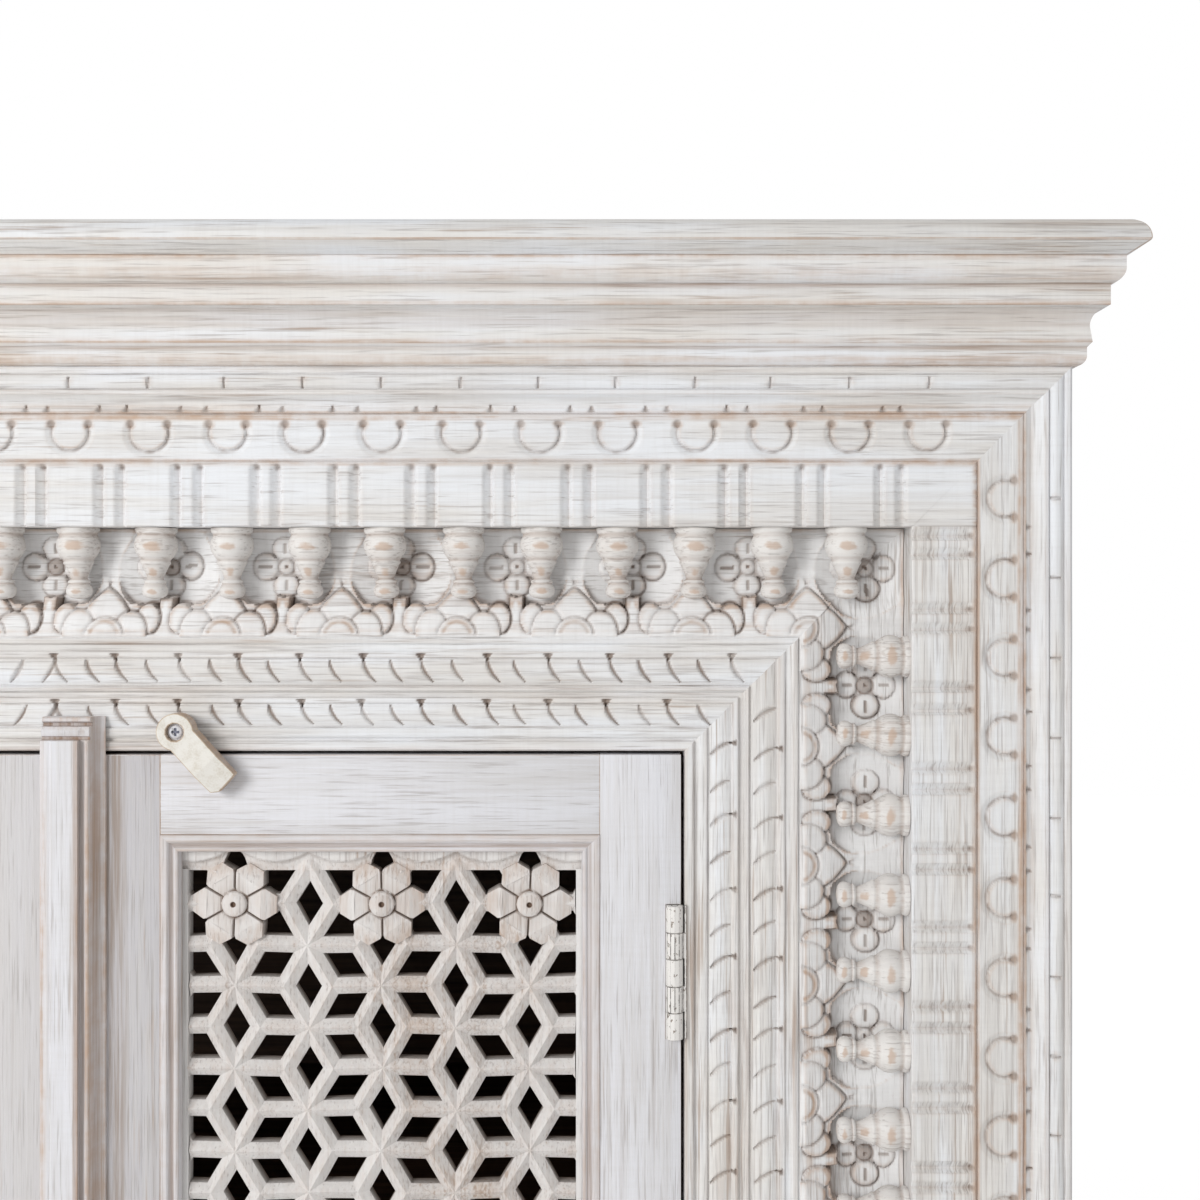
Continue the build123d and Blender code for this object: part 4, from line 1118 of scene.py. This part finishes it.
def runsMesh(name, runs, finishes, rub=moulding["rub"]):
    # each run is an outline with the two ends of its every point along one axis
    points, faces, kinds, marks = [], [], [], {"grime": [], "worn": []}
    for axis, ends in runs:
        ring = []
        for k, corner in enumerate(ends):
            following = ends[(k + 1) % len(ends)]
            size = math.hypot(following[0] - corner[0], following[1] - corner[1])
            steps = max(1, min(40, int(size / moulding["spacing"])))
            ring += [tuple(p + (q - p) * i / steps for p, q in zip(corner, following)) for i in range(steps)]
        ring = np.array(ring)
        outline = ring[:, :2]
        gaps = np.linalg.norm(np.roll(outline, -1, 0) - outline, axis=1)
        travelled = np.concatenate([[0], np.cumsum(gaps)[:-1]])
        apart = np.abs(travelled[:, None] - travelled[None, :])
        apart = np.minimum(apart, gaps.sum() - apart)
        weight = np.exp(-0.5 * (apart / moulding["reach"]) ** 2) * ((gaps + np.roll(gaps, 1)) / 2)[None, :]
        smooth = (weight / weight.sum(1, keepdims=True)) @ outline
        following = np.roll(outline, -1, 0)
        area = np.sum(outline[:, 0] * following[:, 1] - following[:, 0] * outline[:, 1])
        along = following - np.roll(outline, 1, 0)
        outward = np.stack([along[:, 1], -along[:, 0]], 1) * np.sign(area)
        outward /= np.maximum(np.linalg.norm(outward, axis=1, keepdims=True), 1e-9)
        proud = np.sum((outline - smooth) * outward, 1)
        stretches = max(2, int(np.abs(ring[:, 3] - ring[:, 2]).max() / moulding["stretch"]))
        base, count = len(points), len(ring)
        flat = [i for i in range(3) if i != axis]
        for step in range(stretches + 1):
            for k in range(count):
                spot = [0.0, 0.0, 0.0]
                at = ring[k, 2] + (ring[k, 3] - ring[k, 2]) * step / stretches
                sag = moulding["sag"] * (math.sin(at * 0.037 + k * 0.05) - 1) / 2
                spot[flat[0]] = ring[k, 0] + outward[k, 0] * sag
                spot[flat[1]] = ring[k, 1] + outward[k, 1] * sag
                spot[axis] = at
                points.append(spot)
                marks["worn"].append(min(max(proud[k] * rub, 0), 1))
                marks["grime"].append(min(max(-proud[k] * moulding["dirt"], 0), 0.6))
        faces += ringFaces(base, stretches + 1, count)
        faces.append(list(range(base, base + count)))
        faces.append(list(range(len(points) - count, len(points))))
        kinds += [min(axis, len(finishes) - 1)] * (stretches * count + 2)
    mesh = stocked(name, points, faces, marks)
    coated(mesh, *finishes)
    mesh.polygons.foreach_set("material_index", kinds)
    rightWayOut(mesh)
    softShade(mesh, 30)
    return mesh


def moulded(name, node, axis, finishes):
    # the node's own outlines, with close lines along them that know how proud or hollow they are
    work = joined(nodes[node].data, 0.5)
    runs = []
    for first, second in runEnds(work, axis):
        ends = []
        for a, b, at in first:
            match = min(second, key=lambda q: (q[0] - a) ** 2 + (q[1] - b) ** 2)
            ends.append((a, b, at, match[2]))
        runs.append((axis, ends))
    work.free()
    return fresh(name, runsMesh(name, runs, finishes))


cabinetBoards = {
    "x": ("frieze_rail", "sill", "bottom_rail", "feet"),
    "crown": ("top_slab",),
    "z": ("right_side_frame", "left_side_frame", "right_side_panel", "left_side_panel"),
}
finishes = {
    "x": (paintAcross, wornAcross),
    "y": (paintDeep, wornDeep),
    "z": (paintUpright, wornUpright),
    "crown": (crownAcross, wornAcross),
}
for grain, members in cabinetBoards.items():
    for node in members:
        piece = softened("painted_" + node, node, *finishes[grain])
        if node.endswith("side_frame"):
            panelLow, panelHigh = cadBox(node.replace("frame", "panel"))
            coated(piece.data, *finishes["y"])
            for polygon in piece.data.polygons:
                if panelLow[1] < polygon.center.y / mm < panelHigh[1]:
                    polygon.material_index += 2  # a rail, between the stiles
        seat(piece, "cabinet", "carved_wood", node)
runs = {
    0: ("crown_front", "plinth_front"),
    1: ("right_crown_return", "left_crown_return", "right_plinth_return", "left_plinth_return"),
}
for axis, members in runs.items():
    for node in members:
        piece = moulded("painted_" + node, node, axis, (crownAcross, crownDeep))
        seat(piece, "cabinet", "carved_wood", node)
doorBoards = {"top_rail": "x", "bottom_rail": "x", "hinge_stile": "z", "meeting_stile": "z"}
for side in ("right", "left"):
    for part, grain in doorBoards.items():
        node = f"{side}_door_{part}"
        finish = doorAcross if grain == "x" else doorUpright
        if part == "meeting_stile":
            finish = rightMeeting if side == "right" else leftMeeting
        edge = wornAcross if grain == "x" else wornUpright
        piece = softened("painted_" + node, node, finish, edge, 0.45)
        seat(piece, f"{side}_door", "door_wood", node)

# the astragal's moulding returns across its top
astragal = {
    # distance down from the top, height over the door, rubbed, dirty
    "head": (
        (0.0, 10.4, 0.9, 0.0), (0.8, 11.8, 0.8, 0.0), (2.4, 12.2, 0.5, 0.1), (3.1, 11.2, 0.4, 0.5),
        (3.6, 9.4, 0.2, 1.0), (5.2, 9.4, 0.2, 0.9), (5.8, 12.4, 0.4, 0.2), (8.4, 13.6, 0.1, 0.0),
        (11.2, 13.2, 0.1, 0.1), (11.8, 12.2, 0.6, 0.8), (13.1, 12.2, 0.6, 1.0), (13.8, 18.2, 0.3, 0.0),
    ),
    "edge": ((0.0, 15.6), (0.8, 16.8), (5.6, 17.2), (6.2, 16.9), (6.9, 18.2)),  # distance in, height
    "quirk": (20.4, 24.8, 0.55),  # from, to, dirty
    "cove": (28.6, 0.7),  # from, rubbed
    "behind": 2.2,  # over the doorway's head it stands this far off
    "step": 0.5,  # the height of the break there
}


def astragalMesh():
    low, high = cadBox("astragal")
    doorTop = cadBox("right_door_top_rail")[1][2]
    work = joined(nodes["astragal"].data, 0.5)
    foot = min(work.faces, key=lambda face: face.calc_center_median().z)
    outline = [(v.co.x / mm, v.co.y / mm, low[2], high[2]) for v in foot.verts]
    work.free()
    mesh = runsMesh("painted_astragal", [(2, outline)], (doorUpright, doorUpright, doorUpright))
    work = workOn(mesh)
    head = np.array(astragal["head"])
    edge = np.array(astragal["edge"])
    for level in [high[2] - row[0] for row in head[1:]] + [doorTop, doorTop + astragal["step"]]:
        scored(work, (0, 0, level * mm), (0, 0, 1))
    rub, dirt = work.verts.layers.float["worn"], work.verts.layers.float["grime"]
    for vertex in work.verts:
        x, y, z = (c / mm for c in vertex.co)
        across, height, down = x - low[0], doorFace - y, high[2] - z
        ceiling = np.interp(down, head[:, 0], head[:, 1])
        if astragal["quirk"][0] < across < astragal["quirk"][1]:
            vertex[dirt] = max(vertex[dirt], astragal["quirk"][2])
        if across > astragal["cove"][0]:
            vertex[rub] = max(vertex[rub], astragal["cove"][1])
        if down < head[-1, 0] and height > ceiling - 0.01:
            vertex[rub] = np.interp(down, head[:, 0], head[:, 2])
            vertex[dirt] = np.interp(down, head[:, 0], head[:, 3])
        height = min(height, ceiling, np.interp(across, edge[:, 0], edge[:, 1]))
        if z > doorTop + astragal["step"] / 2:
            height = max(height, astragal["behind"])
        vertex.co.y = (doorFace - height) * mm
    bmesh.ops.remove_doubles(work, verts=work.verts, dist=1e-6)
    bmesh.ops.dissolve_degenerate(work, edges=work.edges, dist=1e-7)
    poured(work, mesh)
    softShade(mesh, 30)
    return mesh


seat(fresh("painted_astragal", astragalMesh()), "right_door", "door_wood", "astragal")

# moulded strips round each lattice: distance in from the board's edge, height over the door's face
beadProfile = (
    [(0, 0), (0.3, 0.9), (1.0, 1.2), (3.7, 1.2), (4.6, 0.6)]
    + [(5.4, -0.9), (6.4, -1.6), (7.4, -1.7), (8.0, -1.0)]
    + bowed((8.1, -0.9), (9.2, -0.6), (10.2, -1.2), 4)
    + [(10.6, -2.6), (10.9, -5.0), (11.2, -8.9), (8.0, -8.9), (8.0, -24.0), (0, -24.0)]
)
beadRub = 0.5
beadsLow, beadsHigh = cadBox("right_door_beads")
for side, label in bothSides:
    x0, x1 = sorted((side * beadsLow[0], side * beadsHigh[0]))
    z0, z1 = beadsLow[2], beadsHigh[2]
    backMost = beadsHigh[1] - doorFace
    runs = [(0, []), (0, []), (2, []), (2, [])]
    for inward, height in beadProfile:
        y = doorFace - max(height, -backMost)
        runs[0][1].append((y, z1 - inward, x0 + inward, x1 - inward))
        runs[1][1].append((y, z0 + inward, x0 + inward, x1 - inward))
        runs[2][1].append((x0 + inward, y, z0 + inward, z1 - inward))
        runs[3][1].append((x1 - inward, y, z0 + inward, z1 - inward))
    name = f"painted_{label}_beads"
    piece = fresh(name, runsMesh(name, runs, (doorAcross, doorAcross, doorUpright), beadRub))
    seat(piece, f"{label}_door", "door_wood", f"{label}_door_beads")
for node in ("shelf", "shelf_cleats", "bottom_board", "door_stops", "back_panel"):
    piece = softened("oiled_" + node, node, oiled, oiled, 0.8)
    seat(piece, "cabinet", "plain_boards", node)
print("boards eased")

# pierced lattices
lattice = {
    "columns": 5,
    "rows": 8,
    "columnPitch": 44.6,
    "rowPitch": 50.0,
    "beadWidth": 13.0,
    "head": 30.0,  # from the window's top down to the first flowers
    "front": -9.0,
    "holeEdge": -12.6,
    "back": -22.0,
    "uprightHole": 0.54,  # share of its diamond that a hole takes
    "leaningHole": 0.6,
    "solidSide": 1.5,
    "tongue": 4.7,
    "sway": 0.6,
    "lap": 5.0,  # how far the solid strip covers the last upright holes
}
windowLow = [beadsLow[0] + lattice["beadWidth"], beadsLow[2] + lattice["beadWidth"]]
windowHigh = [beadsHigh[0] - lattice["beadWidth"], beadsHigh[2] - lattice["beadWidth"]]
firstColumn = (windowLow[0] + windowHigh[0]) / 2 - (lattice["columns"] - 1) / 2 * lattice["columnPitch"]
firstRow = windowHigh[1] - lattice["head"]
lastRow = firstRow - lattice["rows"] * lattice["rowPitch"]
latticeFaceY = doorFace - lattice["front"]


def diamondRing(name, corners, share):
    # the bars' halves round one hole: ridge, hole edge, wall, back
    front, holeEdge, back = lattice["front"], lattice["holeEdge"], lattice["back"]
    points, marks = [], {"grime": [0.0] * 16, "worn": [], "stainAndShade": []}
    # the walls darken towards the back, and the back is dark: painted shade
    for scale, height, rub, dark in (
        (1.0, front, 0.3, 0.0),
        (share, holeEdge, 0.12, 0.12),
        (share, back, 0.0, 0.85),
        (1.0, back, 0.0, 0.2),
    ):
        points += [(x * scale, front - height, z * scale) for x, z in corners]
        marks["worn"] += [rub] * 4
        marks["stainAndShade"] += [dark] * 4
    return fresh(name, stocked(name, points, ringFaces(0, 4, 4), marks))


flower = {
    "petals": 6,
    "innerEnd": (9.0, 4.2),
    "ridge": (16.6, 8.6, 1.6, 2.4),  # out, half width, height at the side, height in the middle
    "side": (18.7, 9.3),
    "outer": (25.6, 5.0),
    "crease": (8.6, 18.8),
    "hub": ((7.7, -0.6), (7.7, 1.4), (7.1, 2.7), (5.6, 3.6), (3.6, 4.1), (2.0, 4.2), (1.5, 3.8), (1.2, 2.2)),
    "hubSides": 20,
    "loose": 0.05,
}


def flowerPattern():
    # heights are over the lattice's face; every petal breaks over a ridge across its middle
    points, faces, marks = [], [], {"grime": [], "worn": [], "stainAndShade": []}

    def add(out, aside, height, rub, dark, turn):
        c, s = math.cos(turn), math.sin(turn)
        points.append((out * c - aside * s, -height, out * s + aside * c))
        for values, value in zip(marks.values(), (0.0, rub, dark)):
            values.append(value)
        return len(points) - 1

    inner, side, outer = flower["innerEnd"], flower["side"], flower["outer"]
    out, wide, sideHeight, middleHeight = flower["ridge"]
    heights = (sideHeight, middleHeight, sideHeight)
    deep = lattice["back"] - lattice["front"]
    eachPetal, count = [], flower["petals"]
    for petal in range(count):
        turn = petal * 2 * math.pi / count
        between = turn + math.pi / count
        rim = ((side[0], -side[1]), (outer[0], -outer[1]), outer, side)
        eachPetal.append({
            "in": [add(inner[0], w * inner[1], 1.0, 0.3, 0.12, turn) for w in (-1, 1)],
            "ridge": [add(out, w * wide, height, 0.25, 0.0, turn) for w, height in zip((-1, 0, 1), heights)],
            "side": [add(side[0], w * side[1], 0.8, 0.4, 0.0, turn) for w in (-1, 1)],
            "outer": [add(outer[0], w * outer[1], -0.4, 0.6, 0.1, turn) for w in (-1, 1)],
            "crease": [add(r, 0, -1.2, 0.2, 0.95, between) for r in flower["crease"]],
            # the walls down to the back are darker: painted shade
            "back": [add(*spot, deep, 0, 0.7, turn) for spot in rim]
            + [add(flower["crease"][1], 0, deep, 0, 0.7, between)],
        })
    backLoop, middleLoop = [], []
    for petal, parts in enumerate(eachPetal):
        before = eachPetal[petal - 1]
        (i0, i1), (r0, r1, r2), (s0, s1), (o0, o1), (c0, c1), (b0, b1, b2, b3, b4) = parts.values()
        p0, p1 = before["crease"]
        faces += [(i0, r0, r1, r2, i1), (r0, s0, o0, r1), (r1, o0, o1), (r1, o1, s1, r2)]
        faces += [(i1, r2, s1, c1, c0), (p0, p1, s0, r0, i0), (p1, before["back"][4], b0, s0)]
        faces += [(s0, b0, b1, o0), (o0, b1, b2, o1), (o1, b2, b3, s1), (s1, b3, b4, c1)]
        backLoop += [b0, b1, b2, b3, b4]
        middleLoop += [p0, i0, i1]
    faces += [backLoop, middleLoop]
    # the domed hub with its centre mark
    hub, sides = flower["hub"], flower["hubSides"]
    first = len(points)
    for row, (radius, height) in enumerate(hub):
        dark = 1.0 if row >= len(hub) - 2 else 0.25 if row == 0 else 0.0
        for k in range(sides):
            add(radius, 0, height, 0.35, dark, 2 * math.pi * k / sides)
    faces += ringFaces(first, len(hub), sides)
    faces += [list(range(first, first + sides)), list(range(len(points) - sides, len(points)))]
    mesh = stocked("flower pattern", points, faces, marks)
    rightWayOut(mesh)
    return fresh("flower pattern", mesh)


strip = {
    "spacing": 1.25,  # mesh pitch along it
    "rows": 14,
    "foot": ((0, 11.6), (4.0, 11.4), (6.9, 5.5), (7.6, 0.0)),  # beside a flower's middle, starts this far up
    "swagTop": 7.0,
    "swagDip": 6.5,
    "proud": 0.6,
    "scoop": 3.2,
}


def headStrip(fromRow, upwards):
    # the solid strip past the last holes, scooped below a line of swags
    pitch, third, halfRow = lattice["columnPitch"], lattice["columnPitch"] / 3, lattice["rowPitch"] / 2
    left = windowLow[0] - lattice["tongue"]
    right = windowHigh[0] + lattice["tongue"]
    xs = np.linspace(left, right, int((right - left) / strip["spacing"]))
    rows = strip["rows"]
    column = (xs - firstColumn) / pitch
    toFlower = np.abs(column - 2 * np.round(column / 2)) * pitch  # flowers stand in every other column
    toDiamond = np.abs(pitch - toFlower)
    low = halfRow - lattice["lap"] + profileLine(strip["foot"])(toFlower)
    top = lattice["head"] + lattice["tongue"]
    share = np.linspace(0, 1, rows)[:, None]
    X = np.repeat(xs[None, :], rows, 0)
    Z = low[None, :] + (top - low)[None, :] * share
    dip = np.sin(np.clip((toFlower - 5) / (pitch - 5), 0, 1) * math.pi) ** 0.8
    swag = halfRow + strip["swagTop"] - strip["swagDip"] * dip
    below = np.clip((swag[None, :] - Z) / 5.0, 0, 1)
    H = lattice["front"] + strip["proud"] - strip["scoop"] * below ** 0.7
    d = np.abs(toDiamond[None, :] * halfRow - (halfRow - Z) * third) / math.hypot(third, halfRow)
    ridge = lattice["front"] - 0.58 * d - 0.3 * np.clip(Z - halfRow - 1.0, 0, 9)
    H = np.maximum(H, np.where(Z < halfRow + 4, ridge, -99))
    line = gouge(Z - swag[None, :] + 0.8, 1.6)
    H = H - 0.7 * line
    # painted shade along the swag line
    stainAndShade = 0.4 * line * (0.7 + 0.3 * np.sin(X * 0.13 + 1.0))
    worn = np.clip(0.1 + 0.3 * below, 0, 1)
    front = np.stack([X, doorFace - H, fromRow + upwards * Z], -1).reshape(-1, 3)
    back = front.copy()
    back[:, 1] = doorFace - lattice["back"]
    index = np.arange(rows * len(xs)).reshape(rows, -1)
    quads = gridFaces(index).reshape(-1, 4)
    count = index.size
    rim = np.concatenate([index[0, :-1], index[:-1, -1], index[-1, :0:-1], index[:0:-1, 0]])
    ahead = np.roll(rim, -1)
    walls = np.stack([rim, ahead, ahead + count, rim + count], -1)
    marks = {
        "grime": np.zeros(2 * count),
        "worn": np.append(worn, np.zeros(count)),
        # the walls darken towards the back, and the back is dark: painted shade
        "stainAndShade": np.append(stainAndShade, np.full(count, 0.8)),
    }
    faces = np.concatenate([quads, quads[:, ::-1] + count, walls]).tolist()
    return stocked("strip", np.concatenate([front, back]), faces, marks)


def cutAway(work, point, direction):
    point, direction = Vector(point) * mm, Vector(direction)
    scored(work, point, direction, True)
    onPlane = [
        edge for edge in work.edges
        if edge.is_boundary and all(abs((v.co - point).dot(direction)) < 2e-6 for v in edge.verts)
    ]
    bmesh.ops.holes_fill(work, edges=onPlane, sides=0)


def setInto(work, name, places, pattern, **how):
    # copies of a pattern join the work
    copies = setOut(name, places, pattern, latticePaint, **how)
    work.from_mesh(copies.data)
    bpy.data.objects.remove(copies)
    bpy.data.objects.remove(pattern)


def latticeMesh():
    pitch, row = lattice["columnPitch"], lattice["rowPitch"]
    third, quarter = pitch / 3, row / 4
    upright = ((0, -row / 2), (third, 0), (0, row / 2), (-third, 0))
    falling = ((-pitch / 2, quarter), (-third / 2, -quarter), (pitch / 2, -quarter), (third / 2, quarter))
    rising = tuple((x, -z) for x, z in reversed(falling))
    spots = {"upright": [], "falling": [], "rising": []}
    for column in range(-1, lattice["columns"] + 1):
        offset = 0.5 if column % 2 == 0 else 0
        x = firstColumn + column * pitch
        for k in range(-1, lattice["rows"] + 3):
            spots["upright"].append((x, latticeFaceY, firstRow - (k - offset) * row))
    for gap in range(-2, lattice["columns"] + 1):
        lean = quarter if gap % 2 == 0 else -quarter
        x = firstColumn + (gap + 0.5) * pitch
        for k in range(-1, lattice["rows"] + 2):
            spots["falling"].append((x, latticeFaceY, firstRow - k * row - lean))
            spots["rising"].append((x, latticeFaceY, firstRow - k * row + lean))
    work = bmesh.new()
    for kind, corners, share in (
        ("upright", upright, lattice["uprightHole"]),
        ("falling", falling, lattice["leaningHole"]),
        ("rising", rising, lattice["leaningHole"]),
    ):
        setInto(work, kind + " copies", spots[kind], diamondRing(kind + " pattern", corners, share))
    bmesh.ops.remove_doubles(work, verts=work.verts, dist=2e-6)
    holeTop = firstRow + row / 2 - lattice["lap"]
    holeBottom = lastRow - row / 2 + lattice["lap"]
    solid, tongue = lattice["solidSide"], lattice["tongue"]
    cutAway(work, (windowLow[0] + solid, 0, 0), (-1, 0, 0))
    cutAway(work, (windowHigh[0] - solid, 0, 0), (1, 0, 0))
    cutAway(work, (0, 0, holeTop), (0, 0, 1))
    cutAway(work, (0, 0, holeBottom), (0, 0, -1))
    for vertex in work.verts:  # nothing was cut by machine
        x, _, z = (c / mm for c in vertex.co)
        vertex.co.x += lattice["sway"] * math.sin(z * 0.061 + x * 0.023) * mm
        vertex.co.z += lattice["sway"] * math.sin(x * 0.057 - z * 0.019 + 1.1) * mm * (holeTop - z > 1)
    for fromRow, upwards in ((firstRow, 1), (lastRow, -1)):
        work.from_mesh(headStrip(fromRow, upwards))
    for left, right in (
        (windowLow[0] - tongue, windowLow[0] + solid),
        (windowHigh[0] - solid, windowHigh[0] + tongue),
    ):
        for vertex in bmesh.ops.create_cube(work, size=1.0)["verts"]:
            vertex.co.x = (left if vertex.co.x < 0 else right) * mm
            vertex.co.y = (latticeFaceY + 0.5 if vertex.co.y < 0 else doorFace - lattice["back"]) * mm
            vertex.co.z = (holeBottom - 1 if vertex.co.z < 0 else holeTop + 1) * mm
    places = []
    for column in range(0, lattice["columns"], 2):
        places += [(firstColumn + column * pitch, latticeFaceY, z) for z in (firstRow, lastRow)]
    setInto(work, "flower copies", places, flowerPattern(), looseness=flower["loose"], seed=5)
    mesh = bpy.data.meshes.new("lattice")
    poured(work, mesh)
    return mesh


rightLattice = latticeMesh()
for side, label in bothSides:
    mesh = rightLattice.copy()
    mesh.name = f"carved_{label}_lattice"
    if side < 0:
        mesh.transform(Matrix.Diagonal((-1, 1, 1, 1)))
        rightWayOut(mesh)
    mesh.materials.clear()
    coated(mesh, latticePaint)
    for polygon in mesh.polygons:
        polygon.material_index = 0
    softShade(mesh, 24)
    piece = fresh(f"carved_{label}_lattice", mesh)
    seat(piece, f"{label}_door", "door_wood", f"{label}_door_lattice")
print("lattices pierced")

# hinges
for side in ("right", "left"):
    for node, body in (
        (f"{side}_door_hinge_leaves", f"{side}_door"),
        (f"{side}_cabinet_hinge_leaves", "cabinet"),
        (f"{side}_hinge_pins", "cabinet"),
    ):
        piece = softened("painted_" + node, node, hingePaint, hingeChips, 0.28)
        softShade(piece.data, 40)
        seat(piece, body, "hinge_iron", node)
print("hinges painted")

# turn buttons and their screws
button = {"creaseShare": 0.62, "slope": 0.24}  # a button thins from its crease to its tip
screw = {
    "headRadius": 3.75,
    "dome": 1.0,
    "headHeight": 2.0,
    "rings": 16,
    "sides": 48,
    "turn": 0.5,  # how far the cross stands turned
    "armHalf": 0.5,
    "armReach": 2.5,
    "armSlope": (0.35, 0.4),  # over how much of its side and of its tip an arm deepens
    "crossDepth": 1.3,
    "shankRadius": 2.0,
    "washerRadius": 5.0,
    "washerDown": 2.4,  # from the head's top
    "washerThick": 0.6,
    "darkBelow": 0.7,
    "darkPast": 0.2,  # past the arms' reach
}
screwLow, screwHigh = cadBox("button_screws")
screwX = screwHigh[0] - screw["washerRadius"]
screwZ = (screwLow[2] + screwHigh[2]) / 2


def thinToTip(mesh, node, pivotX):
    low, high = cadBox(node)
    axis = Vector(((low[0] + high[0]) / 2 - pivotX, 0, (low[2] + high[2]) / 2 - screwZ)).normalized()
    pivot = Vector((pivotX, 0, screwZ)) * mm
    crease = max((v.co - pivot).dot(axis) for v in mesh.vertices) * button["creaseShare"]
    work = workOn(mesh)
    scored(work, pivot + axis * crease, axis)
    middle = (low[1] + high[1]) / 2 * mm
    for vertex in work.verts:
        beyond = (vertex.co - pivot).dot(axis) - crease
        if beyond > 0 and vertex.co.y < middle:
            vertex.co.y += beyond * button["slope"]
    work.to_mesh(mesh)
    work.free()
    softShade(mesh, 8)


for side, label in bothSides:
    node = f"{label}_turn_button"
    piece = softened("whittled_" + node, node, buttonPaint, buttonEdge, 0.55)
    coated(piece.data, bareEdge)
    for polygon in piece.data.polygons:
        if polygon.material_index == 0 and polygon.normal.y > -0.6:
            polygon.material_index = 2
    thinToTip(piece.data, node, side * screwX)
    seat(piece, node, "carved_wood", node)


def crossHeadScrew(x, z, frontY, backY):
    # a domed head with a cross cut in it, down to its shank
    sides, headRadius, washerY = screw["sides"], screw["headRadius"], frontY + screw["washerDown"]
    directions = around(sides, screw["turn"])
    sideSlope, tipSlope = screw["armSlope"]
    points = [(x, frontY + screw["crossDepth"], z)]
    for k in range(1, screw["rings"] + 1):
        radius = headRadius * k / screw["rings"]
        dome = screw["dome"] * (radius / headRadius) ** 2.4
        for u, v in directions:
            slim, far = sorted((abs(radius * u), abs(radius * v)))
            inSide = max(0.0, min(1.0, (screw["armHalf"] + sideSlope - slim) / sideSlope))
            inTip = max(0.0, min(1.0, (screw["armReach"] - far) / tipSlope))
            y = frontY + dome + screw["crossDepth"] * (inSide * inTip)
            points.append((x + radius * u, y, z + radius * v))
    lower = (
        (headRadius, frontY + screw["headHeight"]),
        (screw["washerRadius"], washerY),
        (screw["washerRadius"], washerY + screw["washerThick"]),
        (screw["shankRadius"], washerY + screw["washerThick"]),
        (screw["shankRadius"], backY),
    )
    for radius, y in lower:
        points += [(x + radius * u, y, z + radius * v) for u, v in directions]
    faces = [(0, 1 + k, 1 + (k + 1) % sides) for k in range(sides)]
    faces += ringFaces(1, screw["rings"] + len(lower), sides)
    faces.append(list(range(len(points) - sides, len(points))))
    return points, faces


screwPoints, screwFaces = [], []
for side in (1, -1):
    points, faces = crossHeadScrew(side * screwX, screwZ, screwLow[1], screwHigh[1])
    screwFaces += [[len(screwPoints) + i for i in face] for face in faces]
    screwPoints += points
screwMesh = stocked("cross_head_screws", screwPoints, screwFaces)
coated(screwMesh, zinc, crossShade)
# the faces down in the cross take the painted shade
for polygon in screwMesh.polygons:
    x, y, z = (c / mm for c in polygon.center)
    aside = math.hypot(abs(x) - screwX, z - screwZ)
    if y > screwLow[1] + screw["darkBelow"] and aside < screw["armReach"] + screw["darkPast"]:
        polygon.material_index = 1
rightWayOut(screwMesh)
softShade(screwMesh, 35)
seat(fresh("cross_head_screws", screwMesh), "cabinet", "screw_steel", "button_screws")
print("buttons and screws fitted")

# camera, lights, floor
view = {
    "distance": 1000.0,  # in front of the doors
    "across": 331.9,
    "aboveDoorway": 90.9,
    "lens": 50.0,
    "sensor": 36.0,
}
light = {
    "width": 1.3,  # this and the places in metres
    "power": 51.0,
    "from": (-1.45, -2.6, 1.5),
    "towards": (0.3, -0.2, 0.75),
    "room": 0.54,  # what the room's white walls give
    "floor": 0.9,
    "floorLift": 0.53,  # takes the floor to the white of the room
    "floorReach": 6,
}
camera = bpy.data.objects.new("camera", bpy.data.cameras.new("camera"))
bpy.context.scene.collection.objects.link(camera)
camera.data.lens = view["lens"]
camera.data.sensor_width = view["sensor"]
spot = (view["across"], doorFace - view["distance"], doorwayTop + view["aboveDoorway"])
camera.location = [c * mm for c in spot]
camera.rotation_euler = (math.pi / 2, 0, 0)
bpy.context.scene.camera = camera

lamp = bpy.data.lights.new("key light", "AREA")
lamp.shape = "DISK"
lamp.size = light["width"]
lamp.energy = light["power"]
holder = fresh("key light", lamp)
holder.location = light["from"]
holder.rotation_euler = (Vector(light["towards"]) - holder.location).to_track_quat("-Z", "Y").to_euler()


def seenStraight(tree):
    # 1 where the camera looks, also in a mirror or through glass, and 0 where light only arrives
    rays = place(tree, "ShaderNodeLightPath").outputs
    seen = maths(tree, "ADD", rays["Is Camera Ray"], rays["Is Glossy Ray"], clamp=True)
    return maths(tree, "ADD", seen, rays["Is Transmission Ray"], clamp=True)


world = bpy.data.worlds.new("studio")
bpy.context.scene.world = world
world.use_nodes = True
room = world.node_tree
background = room.nodes["Background"]
room.links.new(ramp(room, seenStraight(room), 0.0, 1.0, light["room"], 1.0), background.inputs["Strength"])
background.inputs["Color"].default_value = (1, 1, 1, 1)

reach = light["floorReach"]
floorMesh = bpy.data.meshes.new("floor")
corners = [(-reach, -reach, 0), (reach, -reach, 0), (reach, reach, 0), (-reach, reach, 0)]
floorMesh.from_pydata(corners, [], [(0, 1, 2, 3)])
floor = fresh("floor", floorMesh)
floorFinish, floorTree = emptyFinish("studio floor")
floorInputs = floorTree.nodes["Principled BSDF"].inputs
floorInputs["Base Color"].default_value = (light["floor"], light["floor"], light["floor"], 1)
floorInputs["Roughness"].default_value = 0.9
floorInputs["Specular IOR Level"].default_value = 0.0
floorInputs["Emission Color"].default_value = (1, 1, 1, 1)
lift = maths(floorTree, "MULTIPLY", seenStraight(floorTree), light["floorLift"])
floorTree.links.new(lift, floorInputs["Emission Strength"])
coated(floorMesh, floorFinish)
bpy.context.scene.view_settings.view_transform = "Standard"
print("lit")
